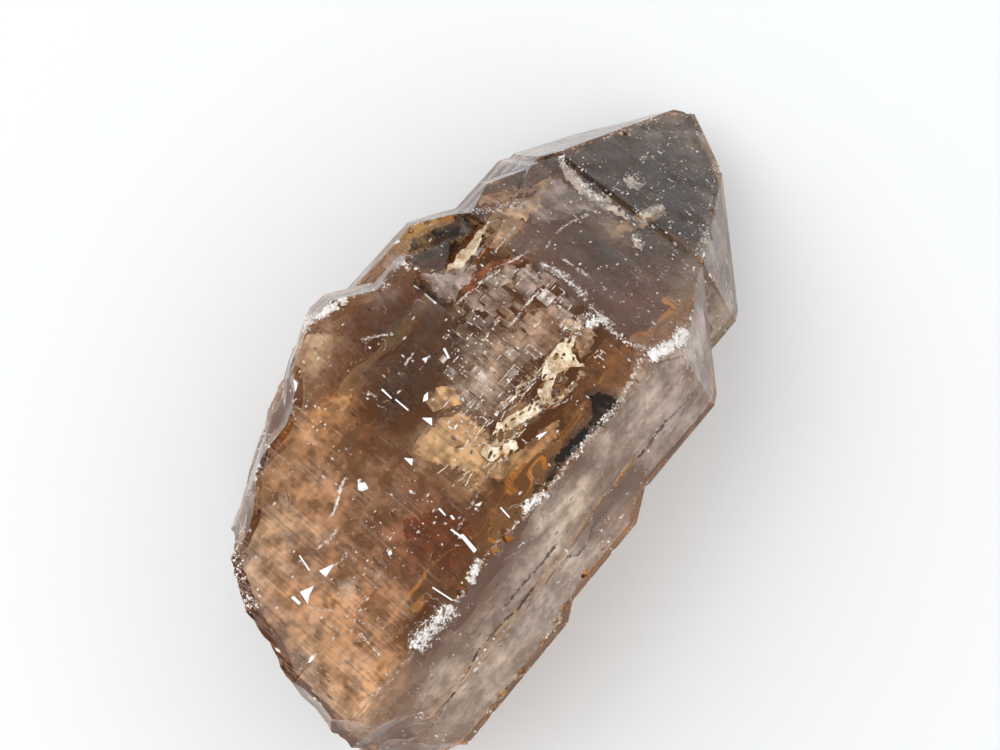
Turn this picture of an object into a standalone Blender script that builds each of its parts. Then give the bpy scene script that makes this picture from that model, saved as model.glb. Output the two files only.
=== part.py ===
"""Rough smoky quartz: a large crystal of several grown side by side with their axes parallel.

It lies on its back prism face. +X runs along the crystal's axis to the tip, and +Z is up.
It is one solid, made of quartz's own faces, with a broken base and flank and chipped edges.
"""

import math
import random

import bmesh
import bpy
from mathutils import Matrix, Vector, noise

MM = 0.001
NODE = "smoky_quartz_crystal"
SMOKY_BROWN = (0.16, 0.11, 0.08, 1.0)

# Where each face looks: its turn around the crystal's axis, in degrees, seen from the tip.
PRISM_TURN = {"front": 90, "right": 150, "right_under": 210, "back": 270, "left_under": 330, "left": 30}
# Each face of the point: its turn, and its lean from the axis. The two left ones grew in fine steps,
# so they stand steeper than the 51.8 degrees of an even face.
TIP_TURN_AND_LEAN = {
    "front": (90, 51.8),
    "right": (150, 50.2),
    "right_under": (210, 50.2),
    "back": (270, 51.8),
    "left_under": (325, 59.5),
    "left": (35, 59.5),
}

# How far each face of each crystal stands from the working origin, in mm, which is on the axis
# under the front face. Both rows go front, right, right_under, back, left_under, left.
# "from" is where the crystal's lower end is along the axis.
CRYSTALS = {
    "main": {
        "prism": (66.5, 52.6, 7.3, 0.0, 27.5, 50.5),
        "tip": (66.0, 58.2, 25.4, 50.5, 53.8, 68.0),
        "from": -92,
    },
    "tip": {
        "prism": (43.2, 32.6, 8.6, -2.6, 25.9, 49.2),
        "tip": (66.7, 58.6, 42.3, 52.0, 54.5, 68.8),
        "from": -20,
    },
    "high_shelf": {
        "prism": (65.0, 38.0, -4.0, -22.0, 6.2, 56.2),
        "tip": (64.6, 50.0, 20.0, 20.0, 22.0, 67.4),
        "from": 24,
    },
    "low_shelf": {
        "prism": (50.4, 30.0, -6.0, -8.0, 15.3, 60.6),
        "tip": (60.0, 50.0, 30.0, 30.0, 20.8, 62.4),
        "from": -60,
    },
    "left_shoulder": {
        "prism": (67.0, 41.0, -6.0, -12.0, 10.6, 65.4),
        "tip": (54.7, 50.0, 20.0, 12.0, -2.4, 54.1),
        "from": -94,
    },
    "left_step": {
        "prism": (66.7, 38.0, 0.0, -9.0, 0.0, 60.4),
        "tip": (56.4, 52.0, 24.0, 12.0, 10.0, 58.3),
        "from": -40,
    },
    "left_belly": {
        "prism": (56.0, 30.0, 0.0, -1.6, 30.2, 54.6),
        "tip": (52.0, 50.0, 20.0, 22.0, 38.4, 52.0),
        "from": -96,
    },
    "right_flank": {
        "prism": (64.0, 52.2, 12.4, -3.8, 20.0, 40.0),
        "tip": (58.0, 52.0, 8.6, 20.0, 30.0, 40.0),
        "from": -98,
    },
    "right_belly": {
        "prism": (52.2, 53.1, 15.0, -1.1, 18.0, 30.0),
        "tip": (38.0, 40.0, -5.6, 22.0, 30.0, 30.0),
        "from": -100,
    },
    "middle_plate": {
        "prism": (67.2, 45.6, 0.0, -30.0, 0.0, 45.0),
        "tip": (59.6, 52.0, 20.0, 10.0, 20.0, 58.0),
        "from": -34,
    },
    "edge_plate": {
        "prism": (66.9, 53.0, -12.0, -40.0, -20.0, 23.4),
        "tip": (64.2, 56.4, 18.0, 0.0, 20.0, 50.0),
        "from": -12,
    },
}

BLANK = 420 * MM

# The broken surfaces: a point on each, the way it looks, how deep its hollows go, and their seed.
BREAKS = {
    "flank": {"at": (-38.5, 33.6, 50), "looks": (-0.40, 0.866, 0.30), "depth": 4.0, "seed": 3},
    "base": {"at": (-69.8, 0, 50), "looks": (-0.955, 0.277, -0.04), "depth": 5.0, "seed": 11},
    "base_corner": {"at": (-71.0, -25, 62), "looks": (-0.57, -0.80, 0.20), "depth": 4.0, "seed": 7},
}
BREAK_SPAN = 140
BREAK_BACK = 60
BREAK_STEPS = 38
# Each broken surface is made of shell-shaped hollows: how many, how wide, and the grit over them.
HOLLOWS = 110
HOLLOW_RADIUS = (7, 22)
GRIT = 0.6
GRIT_GRAIN = 0.3

# The crack that runs along the right face: its places along it, its width and its depth.
CRACK = ((9, -29.9, 53.3), (-4, -30.0, 53.0), (-20, -31.2, 51.0), (-39, -31.8, 49.9), (-66, -31.0, 51.3))
CRACK_WIDTH = 1.1
CRACK_DEPTH = 2.2

# Lines that are chipped all along: both ends, how many chips, and their least and largest radius.
# The last two are the shallow trench in the front face.
CHIPPED_LINES = (
    ((21, -22.3, 66.5), (-72, -22.3, 66.5), 26, 1.2, 3.2),
    ((22, -20, 66.3), (22, 18, 66.3), 10, 1.0, 2.6),
    ((34, -21.5, 56.8), (83, 3, 19), 12, 0.9, 2.0),
    ((53, 28.6, 42), (87, 23, 15), 9, 0.9, 2.0),
    ((-8, 37, 67), (4, 26, 67), 5, 1.0, 2.2),
    ((14, 41.5, 50), (30, 35, 50), 7, 0.8, 1.8),
    ((6, -35.3, 44.4), (-52, -38.6, 38), 12, 1.0, 2.4),
    ((15, -6.8, 67.2), (2, -9.8, 67.2), 9, 2.8, 4.6),
    ((2, -9.8, 67.2), (-15.5, -7.2, 67.2), 10, 1.8, 3.4),
)
# Single larger chips: a place and a radius.
CHIPS = (
    ((97.6, 20.0, 8.6), 4.2),
    ((92.0, 9.4, 10.6), 2.6),
    ((96.0, 12.0, 4.0), 4.4),
    ((33.0, -24.6, 60.6), 3.4),
    ((-14.5, 43.5, 64.0), 4.8),
    ((-20.5, 41.0, 66.5), 3.6),
    ((57.0, -27.6, 22.0), 5.0),
    ((38.0, -32.8, 43.0), 3.2),
    ((-29.0, -23.4, 68.0), 3.0),
    ((-57.0, -23.2, 68.2), 3.4),
    ((-62.0, -40.2, 34.0), 7.0),
    ((3.6, 33.4, 65.8), 4.0),
    ((26.0, 37.0, 58.6), 5.0),
)
CHIP_FLATNESS = (0.45, 0.8)


def prism_face(side):
    """The outward direction of a prism face, square to the axis."""
    turn = math.radians(PRISM_TURN[side])
    return Vector((0, math.cos(turn), math.sin(turn)))


def tip_face(side):
    """The outward direction of a face of the point."""
    turn, lean = (math.radians(angle) for angle in TIP_TURN_AND_LEAN[side])
    return Vector((math.cos(lean), math.sin(lean) * math.cos(turn), math.sin(lean) * math.sin(turn)))


def shape_within(planes):
    """The closed shape inside these planes, each an outward direction and a distance."""
    shape = bmesh.new()
    bmesh.ops.create_cube(shape, size=BLANK)
    for direction, distance in planes:
        everything = shape.verts[:] + shape.edges[:] + shape.faces[:]
        cut = bmesh.ops.bisect_plane(
            shape,
            geom=everything,
            dist=1e-7,
            plane_co=direction * distance,
            plane_no=direction,
            clear_outer=True,
        )
        rim = [item for item in cut["geom_cut"] if isinstance(item, bmesh.types.BMEdge)]
        if rim:
            bmesh.ops.holes_fill(shape, edges=rim)
    bmesh.ops.recalc_face_normals(shape, faces=shape.faces[:])
    bmesh.ops.triangulate(shape, faces=shape.faces[:])
    return shape


def new_object(name, shape, collection, helper=True):
    """Puts a shape in the scene, as wire that doesn't render when it is only a helper."""
    mesh = bpy.data.meshes.new(name)
    shape.to_mesh(mesh)
    shape.free()
    made = bpy.data.objects.new(name, mesh)
    collection.objects.link(made)
    if helper:
        made.hide_render = True
        made.display_type = "WIRE"
    return made


def crystal_shape(faces):
    """One crystal of the group, with its own prism and point."""
    planes = [(prism_face(side), far * MM) for side, far in zip(PRISM_TURN, faces["prism"])]
    planes += [(tip_face(side), far * MM) for side, far in zip(TIP_TURN_AND_LEAN, faces["tip"])]
    planes.append((Vector((-1, 0, 0)), -faces["from"] * MM))
    return shape_within(planes)


def break_shape(looks, at, depth, seed):
    """A block that takes away all that is beyond a broken surface of shell-shaped hollows."""
    dice = random.Random(seed)
    half = BREAK_SPAN / 2
    hollows = []
    for _ in range(HOLLOWS):
        middle = Vector((dice.uniform(-half, half), dice.uniform(-half, half), 0))
        hollows.append((middle, dice.uniform(*HOLLOW_RADIUS), dice.uniform(0.2, 1.0) * depth))
    shape = bmesh.new()
    bmesh.ops.create_grid(shape, x_segments=BREAK_STEPS, y_segments=BREAK_STEPS, size=half)
    for vert in shape.verts:
        sunk = max(deep - (vert.co - middle).length_squared / (2 * wide) for middle, wide, deep in hollows)
        grit = noise.noise(vert.co * GRIT_GRAIN + Vector((seed, 0, 0))) * GRIT
        vert.co.z = -max(sunk, 0) - grit
    raised = bmesh.ops.extrude_face_region(shape, geom=shape.faces[:])["geom"]
    for item in raised:
        if isinstance(item, bmesh.types.BMVert):
            item.co.z = BREAK_BACK
    bmesh.ops.triangulate(shape, faces=shape.faces[:])
    bmesh.ops.recalc_face_normals(shape, faces=shape.faces[:])
    turn = Vector(looks).to_track_quat("Z", "Y").to_matrix().to_4x4()
    place = Matrix.Scale(MM, 4) @ Matrix.Translation(Vector(at)) @ turn
    bmesh.ops.transform(shape, matrix=place, verts=shape.verts[:])
    return shape


def chip_shape(at, radius, dice):
    """A flattened many-sided lump, turned at random, that leaves a chip where it cuts."""
    shape = bmesh.new()
    bmesh.ops.create_icosphere(shape, subdivisions=1, radius=radius * MM)
    stretch = Vector((1.0, dice.uniform(*CHIP_FLATNESS), dice.uniform(*CHIP_FLATNESS)))
    bmesh.ops.scale(shape, vec=stretch, verts=shape.verts[:])
    turn = Matrix.Rotation(dice.uniform(0, math.tau), 4, Vector((dice.random(), dice.random(), dice.random())))
    bmesh.ops.transform(shape, matrix=Matrix.Translation(Vector(at) * MM) @ turn, verts=shape.verts[:])
    return shape


def crack_shape(start, end):
    """A thin wedge along one stretch of the crack, sunk into the right face."""
    shape = bmesh.new()
    bmesh.ops.create_cube(shape, size=1.0)
    run = Vector(end) - Vector(start)
    for vert in shape.verts:
        if vert.co.z < 0:
            vert.co.y *= 0.15
    size = Vector((run.length + CRACK_WIDTH, CRACK_WIDTH, CRACK_DEPTH * 2))
    bmesh.ops.scale(shape, vec=size * MM, verts=shape.verts[:])
    along = run.normalized()
    across = prism_face("right").cross(along).normalized()
    turn = Matrix((along, across, along.cross(across))).transposed().to_4x4()
    middle = (Vector(start) + Vector(end)) / 2
    bmesh.ops.transform(shape, matrix=Matrix.Translation(middle * MM) @ turn, verts=shape.verts[:])
    return shape


def add_boolean(body, name, operation, helpers):
    """Joins or cuts the body with all the objects of a collection."""
    step = body.modifiers.new(name, "BOOLEAN")
    step.operation = operation
    step.solver = "EXACT"
    step.operand_type = "COLLECTION"
    step.collection = helpers


def new_collection(name, parent):
    made = bpy.data.collections.new(name)
    parent.children.link(made)
    return made


def build_crystals(group, helpers):
    """The crystals, joined in one body."""
    body = new_object(NODE, crystal_shape(CRYSTALS["main"]), group, helper=False)
    others = new_collection("other_crystals", helpers)
    for name, faces in CRYSTALS.items():
        if name != "main":
            new_object(name, crystal_shape(faces), others)
    add_boolean(body, "join_crystals", "UNION", others)
    return body


def cut_breaks(body, helpers):
    """The broken surfaces at the base and along the left flank."""
    breaks = new_collection("breaks", helpers)
    for name, values in BREAKS.items():
        new_object("break_" + name, break_shape(**values), breaks)
    add_boolean(body, "cut_breaks", "DIFFERENCE", breaks)


def cut_chips(body, helpers):
    """The chips along the edges and the trench and at the corners, and the crack."""
    dice = random.Random(20)
    chips = new_collection("chips", helpers)
    for start, end, count, least, largest in CHIPPED_LINES:
        for index in range(count):
            share = (index + dice.uniform(0.1, 0.9)) / count
            place = Vector(start).lerp(Vector(end), share)
            place += Vector((dice.gauss(0, 0.4), dice.gauss(0, 0.4), dice.gauss(0.6, 0.4)))
            shape = chip_shape(place, dice.uniform(least, largest), dice)
            new_object("edge_chip", shape, chips)
    for place, radius in CHIPS:
        new_object("corner_chip", chip_shape(place, radius, dice), chips)
    for start, end in zip(CRACK, CRACK[1:]):
        new_object("crack", crack_shape(start, end), chips)
    add_boolean(body, "cut_chips", "DIFFERENCE", chips)


def loose_parts(shape):
    """The shape's separate pieces, each a list of its vertices."""
    waiting = set(shape.verts)
    parts = []
    while waiting:
        part = []
        front = [waiting.pop()]
        while front:
            vert = front.pop()
            part.append(vert)
            for edge in vert.link_edges:
                other = edge.other_vert(vert)
                if other in waiting:
                    waiting.remove(other)
                    front.append(other)
        parts.append(part)
    return parts


def settle(body):
    """Makes the cuts lasting, drops loose flakes, and puts the origin under the middle."""
    scene = bpy.context.evaluated_depsgraph_get()
    finished = bpy.data.meshes.new_from_object(body.evaluated_get(scene))
    body.modifiers.clear()
    body.data = finished
    shape = bmesh.new()
    shape.from_mesh(finished)
    flakes = sorted(loose_parts(shape), key=len)[:-1]
    bmesh.ops.delete(shape, geom=[vert for flake in flakes for vert in flake], context="VERTS")
    bmesh.ops.triangulate(shape, faces=shape.faces[:])
    shape.to_mesh(finished)
    shape.free()
    lows = [min(vert.co[axis] for vert in finished.vertices) for axis in range(3)]
    highs = [max(vert.co[axis] for vert in finished.vertices) for axis in range(3)]
    middle = Vector(((lows[0] + highs[0]) / 2, (lows[1] + highs[1]) / 2, lows[2]))
    finished.transform(Matrix.Translation(-middle))
    return middle


def colour(body):
    smoky = bpy.data.materials.new("smoky_quartz")
    smoky.use_nodes = True
    shader = smoky.node_tree.nodes["Principled BSDF"]
    shader.inputs["Base Color"].default_value = SMOKY_BROWN
    shader.inputs["Roughness"].default_value = 0.1
    smoky.diffuse_color = SMOKY_BROWN
    body.data.materials.clear()
    body.data.materials.append(smoky)


def main():
    for old in list(bpy.data.objects):
        bpy.data.objects.remove(old)
    group = new_collection("smoky_quartz", bpy.context.scene.collection)
    helpers = new_collection("cutters", bpy.context.scene.collection)
    body = build_crystals(group, helpers)
    cut_breaks(body, helpers)
    cut_chips(body, helpers)
    middle = settle(body)
    colour(body)
    print("working origin moved by", [round(-value / MM, 3) for value in middle])


main()
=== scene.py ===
"""The looks of the rough smoky quartz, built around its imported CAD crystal.

The crystal's axis lies along X and it rests on its back face at z = 0. Marks that the photograph
shows are named by their photograph pixels, and are cast from its camera onto the crystal.
"""

import math
import random

import bmesh
import bpy
from bpy.props import FloatProperty, FloatVectorProperty, IntProperty, PointerProperty
from mathutils import Matrix, Vector, noise
from mathutils.bvhtree import BVHTree


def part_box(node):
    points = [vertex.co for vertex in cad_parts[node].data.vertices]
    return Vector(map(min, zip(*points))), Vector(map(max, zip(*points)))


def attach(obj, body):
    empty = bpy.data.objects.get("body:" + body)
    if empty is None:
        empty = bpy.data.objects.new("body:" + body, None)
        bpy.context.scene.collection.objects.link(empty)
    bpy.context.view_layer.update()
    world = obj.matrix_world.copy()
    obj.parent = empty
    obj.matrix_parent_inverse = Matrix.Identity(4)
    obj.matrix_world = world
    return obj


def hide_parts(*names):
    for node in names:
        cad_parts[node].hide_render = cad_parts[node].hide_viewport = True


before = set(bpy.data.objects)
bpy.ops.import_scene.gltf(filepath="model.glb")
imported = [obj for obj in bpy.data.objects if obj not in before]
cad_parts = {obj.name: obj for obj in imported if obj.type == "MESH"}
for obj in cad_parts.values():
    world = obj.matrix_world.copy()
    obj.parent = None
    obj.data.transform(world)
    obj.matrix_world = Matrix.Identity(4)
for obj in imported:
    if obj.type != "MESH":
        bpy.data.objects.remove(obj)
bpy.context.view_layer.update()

bl_info = {
    "name": "Rough Smoky Quartz",
    "version": (1, 0, 0),
    "blender": (4, 5, 0),
    "location": "View3D > Sidebar > Quartz",
    "description": "Dresses a natural smoky quartz crystal with chips, bruises, clouds and clay",
    "category": "Add Mesh",
}

MM = 0.001
MERGE = 1e-5
UP = Vector((0, 0, 1))
AXIS = Vector((1, 0, 0))
NODE = "smoky_quartz_crystal"
BODY = "root"
# What one operator makes and others use: the search tree, the growth blocks and the speckle group.
SHARED = {}

# The photograph's camera. Its picture is 1000 by 750 pixels.
PHOTO_SIZE = (1000, 750)
LENS = 54.0
SENSOR = 36.0
CAMERA_AT = Vector((-0.061716, -0.070805, 0.354631))
CAMERA_RIGHT = Vector((0.6453, -0.7620, -0.0537))
CAMERA_UP = Vector((0.7424, 0.6091, 0.2791))
CAMERA_BACK = Vector((-0.1800, -0.2200, 0.9588))
# The crystal's axis as the photograph shows it: its share of x, and of y upwards.
AXIS_SHOWN = (0.656, 0.755)

# How sharp and how long an edge is at least, where chips and specks lie along it.
CHIP_EDGE = (math.radians(24), 0.0015)
SPECK_EDGE = (math.radians(30), 0.001)
CHIP_CORNERS = 13
SCAR_RISE = 0.00004
# Chips, specks and clouds keep this far above the floor.
CHIP_FLOOR = 0.003
SPECK_FLOOR = 0.001
CLOUD_FLOOR = 0.004
# A growth block is a pit in level stone: how flat its ground is, its slope, and the room between two.
BLOCK_GROUND = 0.0001
BLOCK_SLOPE = 0.985
BLOCK_ROOM = 0.0003
BLOCK_TOOL = 0.003
BLOCK_LINE_STEP = 0.00022
PIT_RISE = 0.00003
PIT_THICKNESS = 0.00012
CRUMB_DEPTH = 0.0002
DARK_SPECK_DEPTH = 0.00015
WISP_STEP = 0.00028
WISP_COVER = 0.00015
CLAY_ROOT = 0.0004
# A spot on the skin is shown where it faces the camera and lies this close to what the camera meets.
SEEN_FACING = 0.15
SEEN_REACH = 0.006
LIGHT_AT = Vector((-0.5, 0.35, 1.1))
LIGHT_SIZE = 0.9


# White bruises along the edges: pixels of the line, half width in pixels, flakes, largest flake in mm.
BRUISES = {
    "right_corner": (((650, 356), (664, 350), (674, 345), (686, 330)), 6, 2200, 0.75),
    "right_corner_spray": (((640, 352), (668, 350), (700, 352)), 9, 260, 0.4),
    "point_edge_top": (((540, 264), (552, 268), (566, 278), (587, 300)), 4, 520, 0.55),
    "point_edge_low": (((591, 305), (604, 322), (613, 332), (628, 342), (645, 350)), 3, 420, 0.45),
    "point_edge_block": (((586, 326), (596, 322), (606, 318), (610, 328)), 5, 620, 0.5),
    "block_patch": (((596, 310), (580, 326), (560, 330)), 8, 300, 0.4),
    "main_edge_top": (((645, 354), (634, 374), (622, 399)), 3, 300, 0.45),
    "main_edge_middle": (((622, 399), (604, 420), (587, 440), (572, 460)), 4, 520, 0.5),
    "main_edge_bend": (((572, 458), (558, 478), (548, 488)), 3, 180, 0.4),
    "main_edge_patch": (((548, 494), (538, 498), (526, 506), (524, 514)), 4, 420, 0.7),
    "main_edge_low": (((520, 520), (500, 540), (484, 556)), 2, 150, 0.35),
    "low_blob": (((480, 560), (474, 572), (470, 582)), 4, 620, 0.7),
    "low_edge": (((466, 590), (455, 602)), 3, 110, 0.4),
    "low_fuzz": (((452, 606), (436, 626), (416, 648)), 8, 1500, 0.6),
    "low_fuzz_spray": (((450, 612), (430, 630), (408, 640)), 16, 260, 0.35),
    "lower_edge": (((412, 656), (390, 680), (366, 700)), 2, 130, 0.35),
    "left_corner": (((300, 330), (312, 318), (330, 308), (346, 298)), 5, 1100, 0.7),
    "left_edge": (((296, 340), (284, 380), (268, 420), (258, 440)), 3, 300, 0.45),
    "upper_left_edge": (((350, 297), (372, 290), (392, 284)), 2, 120, 0.4),
    "shelf_corner": (((392, 268), (402, 262), (410, 270)), 4, 200, 0.5),
    "shelf_edge": (((398, 228), (430, 218), (462, 210), (494, 210)), 3, 460, 0.45),
    "shelf_patch": (((494, 210), (510, 204), (530, 200)), 7, 320, 0.45),
    "ledge_top": (((560, 156), (566, 170), (576, 180)), 4, 260, 0.5),
    "ledge_band": (((576, 180), (590, 192), (604, 202)), 4, 420, 0.6),
    "ledge_low": (((604, 202), (622, 212), (640, 222), (660, 229)), 2, 240, 0.4),
    "ledge_spot": (((632, 236), (640, 240), (636, 247)), 6, 240, 0.5),
    "ledge_lens": (((640, 216), (652, 210), (664, 206)), 5, 160, 0.5),
    "point_patch": (((624, 178), (634, 180), (644, 186)), 7, 200, 0.4),
    "point_right_patch": (((706, 225), (704, 240), (698, 256)), 6, 260, 0.4),
    "rough_left_top": (((262, 432), (254, 462), (246, 492)), 9, 520, 0.6),
    "rough_left_low": (((240, 520), (233, 556), (238, 590), (256, 610)), 9, 460, 0.6),
    "point_top": (((600, 140), (640, 124), (672, 114), (700, 116), (716, 132)), 2, 360, 0.35),
    "point_right": (((716, 160), (712, 200), (704, 250), (694, 300)), 2, 260, 0.35),
    "belly_edge": (((694, 380), (670, 430), (650, 470)), 2, 120, 0.35),
}

# Crumbly white lines on the faces: pixels, largest flake in mm, flakes a pixel.
SCRATCHES = {
    "block_line_a": (((563, 259), (585, 274), (606, 289)), 0.24, 3.6),
    "block_line_b": (((538, 292), (524, 308), (510, 326)), 0.22, 3.1),
    "block_line_c": (((500, 270), (478, 284), (456, 304)), 0.21, 2.6),
    "block_line_d": (((480, 344), (492, 330), (500, 318)), 0.20, 2.4),
    "block_line_e": (((552, 300), (566, 312)), 0.22, 2.4),
    "trench_line_a": (((543, 372), (520, 392), (498, 412), (484, 430)), 0.20, 2.4),
    "trench_line_b": (((572, 398), (540, 412), (508, 436)), 0.18, 1.9),
    "front_line_a": (((345, 478), (340, 490), (336, 506), (332, 516)), 0.32, 4.8),
    "front_line_b": (((376, 398), (368, 392)), 0.19, 2.4),
    "front_line_c": (((362, 340), (378, 336), (394, 334)), 0.22, 2.6),
    "front_line_d": (((408, 360), (414, 352), (404, 366)), 0.20, 2.4),
    "front_line_e": (((359, 631), (371, 646), (383, 660)), 0.20, 2.2),
    "front_line_f": (((310, 608), (340, 614), (372, 626)), 0.18, 1.4),
    "front_line_g": (((322, 580), (334, 566), (346, 556)), 0.17, 1.7),
    "front_line_h": (((318, 548), (330, 540), (338, 528)), 0.22, 2.6),
    "point_line_a": (((640, 160), (648, 152), (642, 166)), 0.21, 2.9),
    "point_line_b": (((604, 204), (616, 184), (640, 172)), 0.20, 1.9),
    "point_line_c": (((545, 250), (552, 236), (570, 222), (590, 214)), 0.22, 2.9),
    "shelf_line_a": (((494, 254), (504, 240), (516, 226)), 0.20, 2.6),
    "shelf_line_b": (((530, 250), (510, 262), (488, 270)), 0.20, 2.6),
    "dark_edge_line": (((458, 530), (468, 512), (480, 490)), 0.15, 1.9),
}

# Crumbs of clay strewn along the axis beside the trench: pixels, largest crumb in mm, crumbs a pixel.
GOLD_LINES = {
    "above": (((556, 350), (536, 372), (512, 396), (494, 416)), 0.4, 2.6),
    "right": (((582, 372), (572, 388), (548, 402), (520, 420)), 0.4, 2.4),
    "low": (((520, 432), (500, 448), (484, 466)), 0.35, 2.2),
    "lower": (((500, 462), (484, 478), (470, 490)), 0.3, 1.6),
    "left": (((470, 430), (450, 440), (436, 452)), 0.3, 1.6),
    "speck_point": (((605, 196), (609, 200)), 0.5, 6.0),
    "speck_ledge": (((634, 240), (640, 246)), 0.5, 6.0),
    "speck_right": (((703, 240), (707, 243)), 0.45, 6.0),
    "speck_tip": (((715, 136), (717, 142)), 0.5, 6.0),
}

# Etch pits and dashes in the front face, crisp and bright: their corners in pixels. Their white plates are
# painted glints of the light that the pits reflect.
FLASHES = {
    "upper": ((422, 418), (432, 418), (432, 426)),
    "middle": ((404, 458), (413, 459), (412, 466)),
    "lower": ((319, 571), (334, 564), (326, 577)),
    "lowest": ((300, 592), (314, 586), (309, 596), (308, 604)),
    "lowest_small": ((291, 598), (294, 596), (301, 603), (299, 605)),
    "thick_dash_head": ((450, 530), (452, 529), (463, 537), (461, 538)),
    "thick_dash": ((460, 536), (463, 534), (477, 550), (474, 553)),
    "dash_a": ((438, 509), (440, 508), (446, 515), (445, 516)),
    "dash_b": ((450, 516), (452, 515), (455, 519), (453, 520)),
    "dash_c": ((299, 556), (300, 555), (310, 570), (309, 571)),
    "dash_d": ((381, 390), (383, 389), (392, 398), (391, 399)),
    "dash_e": ((395, 400), (396, 399), (409, 410), (408, 411)),
    "dash_f": ((413, 286), (414, 285), (436, 303), (435, 304)),
    "dash_g": ((443, 349), (445, 348), (450, 358), (448, 359)),
    "dash_h": ((432, 588), (433, 587), (453, 600), (452, 601)),
    "dash_i": ((500, 508), (501, 507), (510, 517), (509, 518)),
    "spark_a": ((388, 552), (391, 550), (392, 554), (389, 556)),
    "spark_b": ((424, 396), (428, 392), (428, 400), (423, 402)),
    "spark_c": ((422, 359), (428, 357), (426, 363)),
}

# Dark cracks along the right face: pixels, width in mm.
CRACKS = {
    "upper": (((697, 387), (688, 401), (676, 412), (668, 420)), 0.4),
    "upper_thick": (((668, 419), (656, 434), (650, 444), (640, 456)), 0.9),
    "middle_thin": (((608, 488), (585, 513), (556, 545)), 0.22),
    "middle": (((556, 545), (536, 571), (525, 582), (512, 598), (504, 608)), 0.7),
    "right_hook": (((611, 507), (601, 517), (592, 529), (588, 544), (578, 555), (566, 557)), 0.6),
    "low": (((534, 587), (518, 609), (505, 620), (489, 638), (478, 651), (471, 665)), 0.55),
    "lowest": (((471, 665), (456, 690), (440, 714), (424, 736)), 0.4),
    "front_crack": (((430, 420), (418, 436), (408, 452), (398, 464)), 0.3),
    "front_crack_top": (((432, 419), (444, 412), (456, 410), (466, 406)), 0.22),
    "front_line": (((486, 482), (474, 494), (464, 510), (458, 524)), 0.16),
    "point_crack": (((560, 222), (580, 210), (604, 206)), 0.2),
}

# Clay in the trench and the gold sliver: outlines in pixels, thickness in mm, how full its net is.
CLAY = {
    "crest": (
        ((540, 372), (546, 360), (556, 346), (566, 338), (578, 335), (576, 340), (571, 348), (574, 354),
         (580, 362), (587, 368), (576, 366),
         (566, 370), (556, 376), (552, 386), (551, 401), (540, 401), (537, 392), (542, 380)),
        0.7,
        0.78,
    ),
    "tail": (((536, 400), (550, 399), (562, 394), (573, 389), (570, 395), (556, 403), (540, 413),
              (520, 425), (500, 434), (488, 440), (500, 421), (520, 410)), 0.5, 0.62),
    "ring": (((480, 452), (488, 442), (500, 438), (516, 440), (519, 448), (508, 458), (498, 463),
              (484, 460)), 0.4, 0.55),
    "sliver": (((492, 219), (485, 231), (478, 248), (476, 255), (468, 259), (466, 266), (455, 270),
                (442, 273), (459, 252), (471, 241), (483, 225)), 0.3, 9.0),
}
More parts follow.
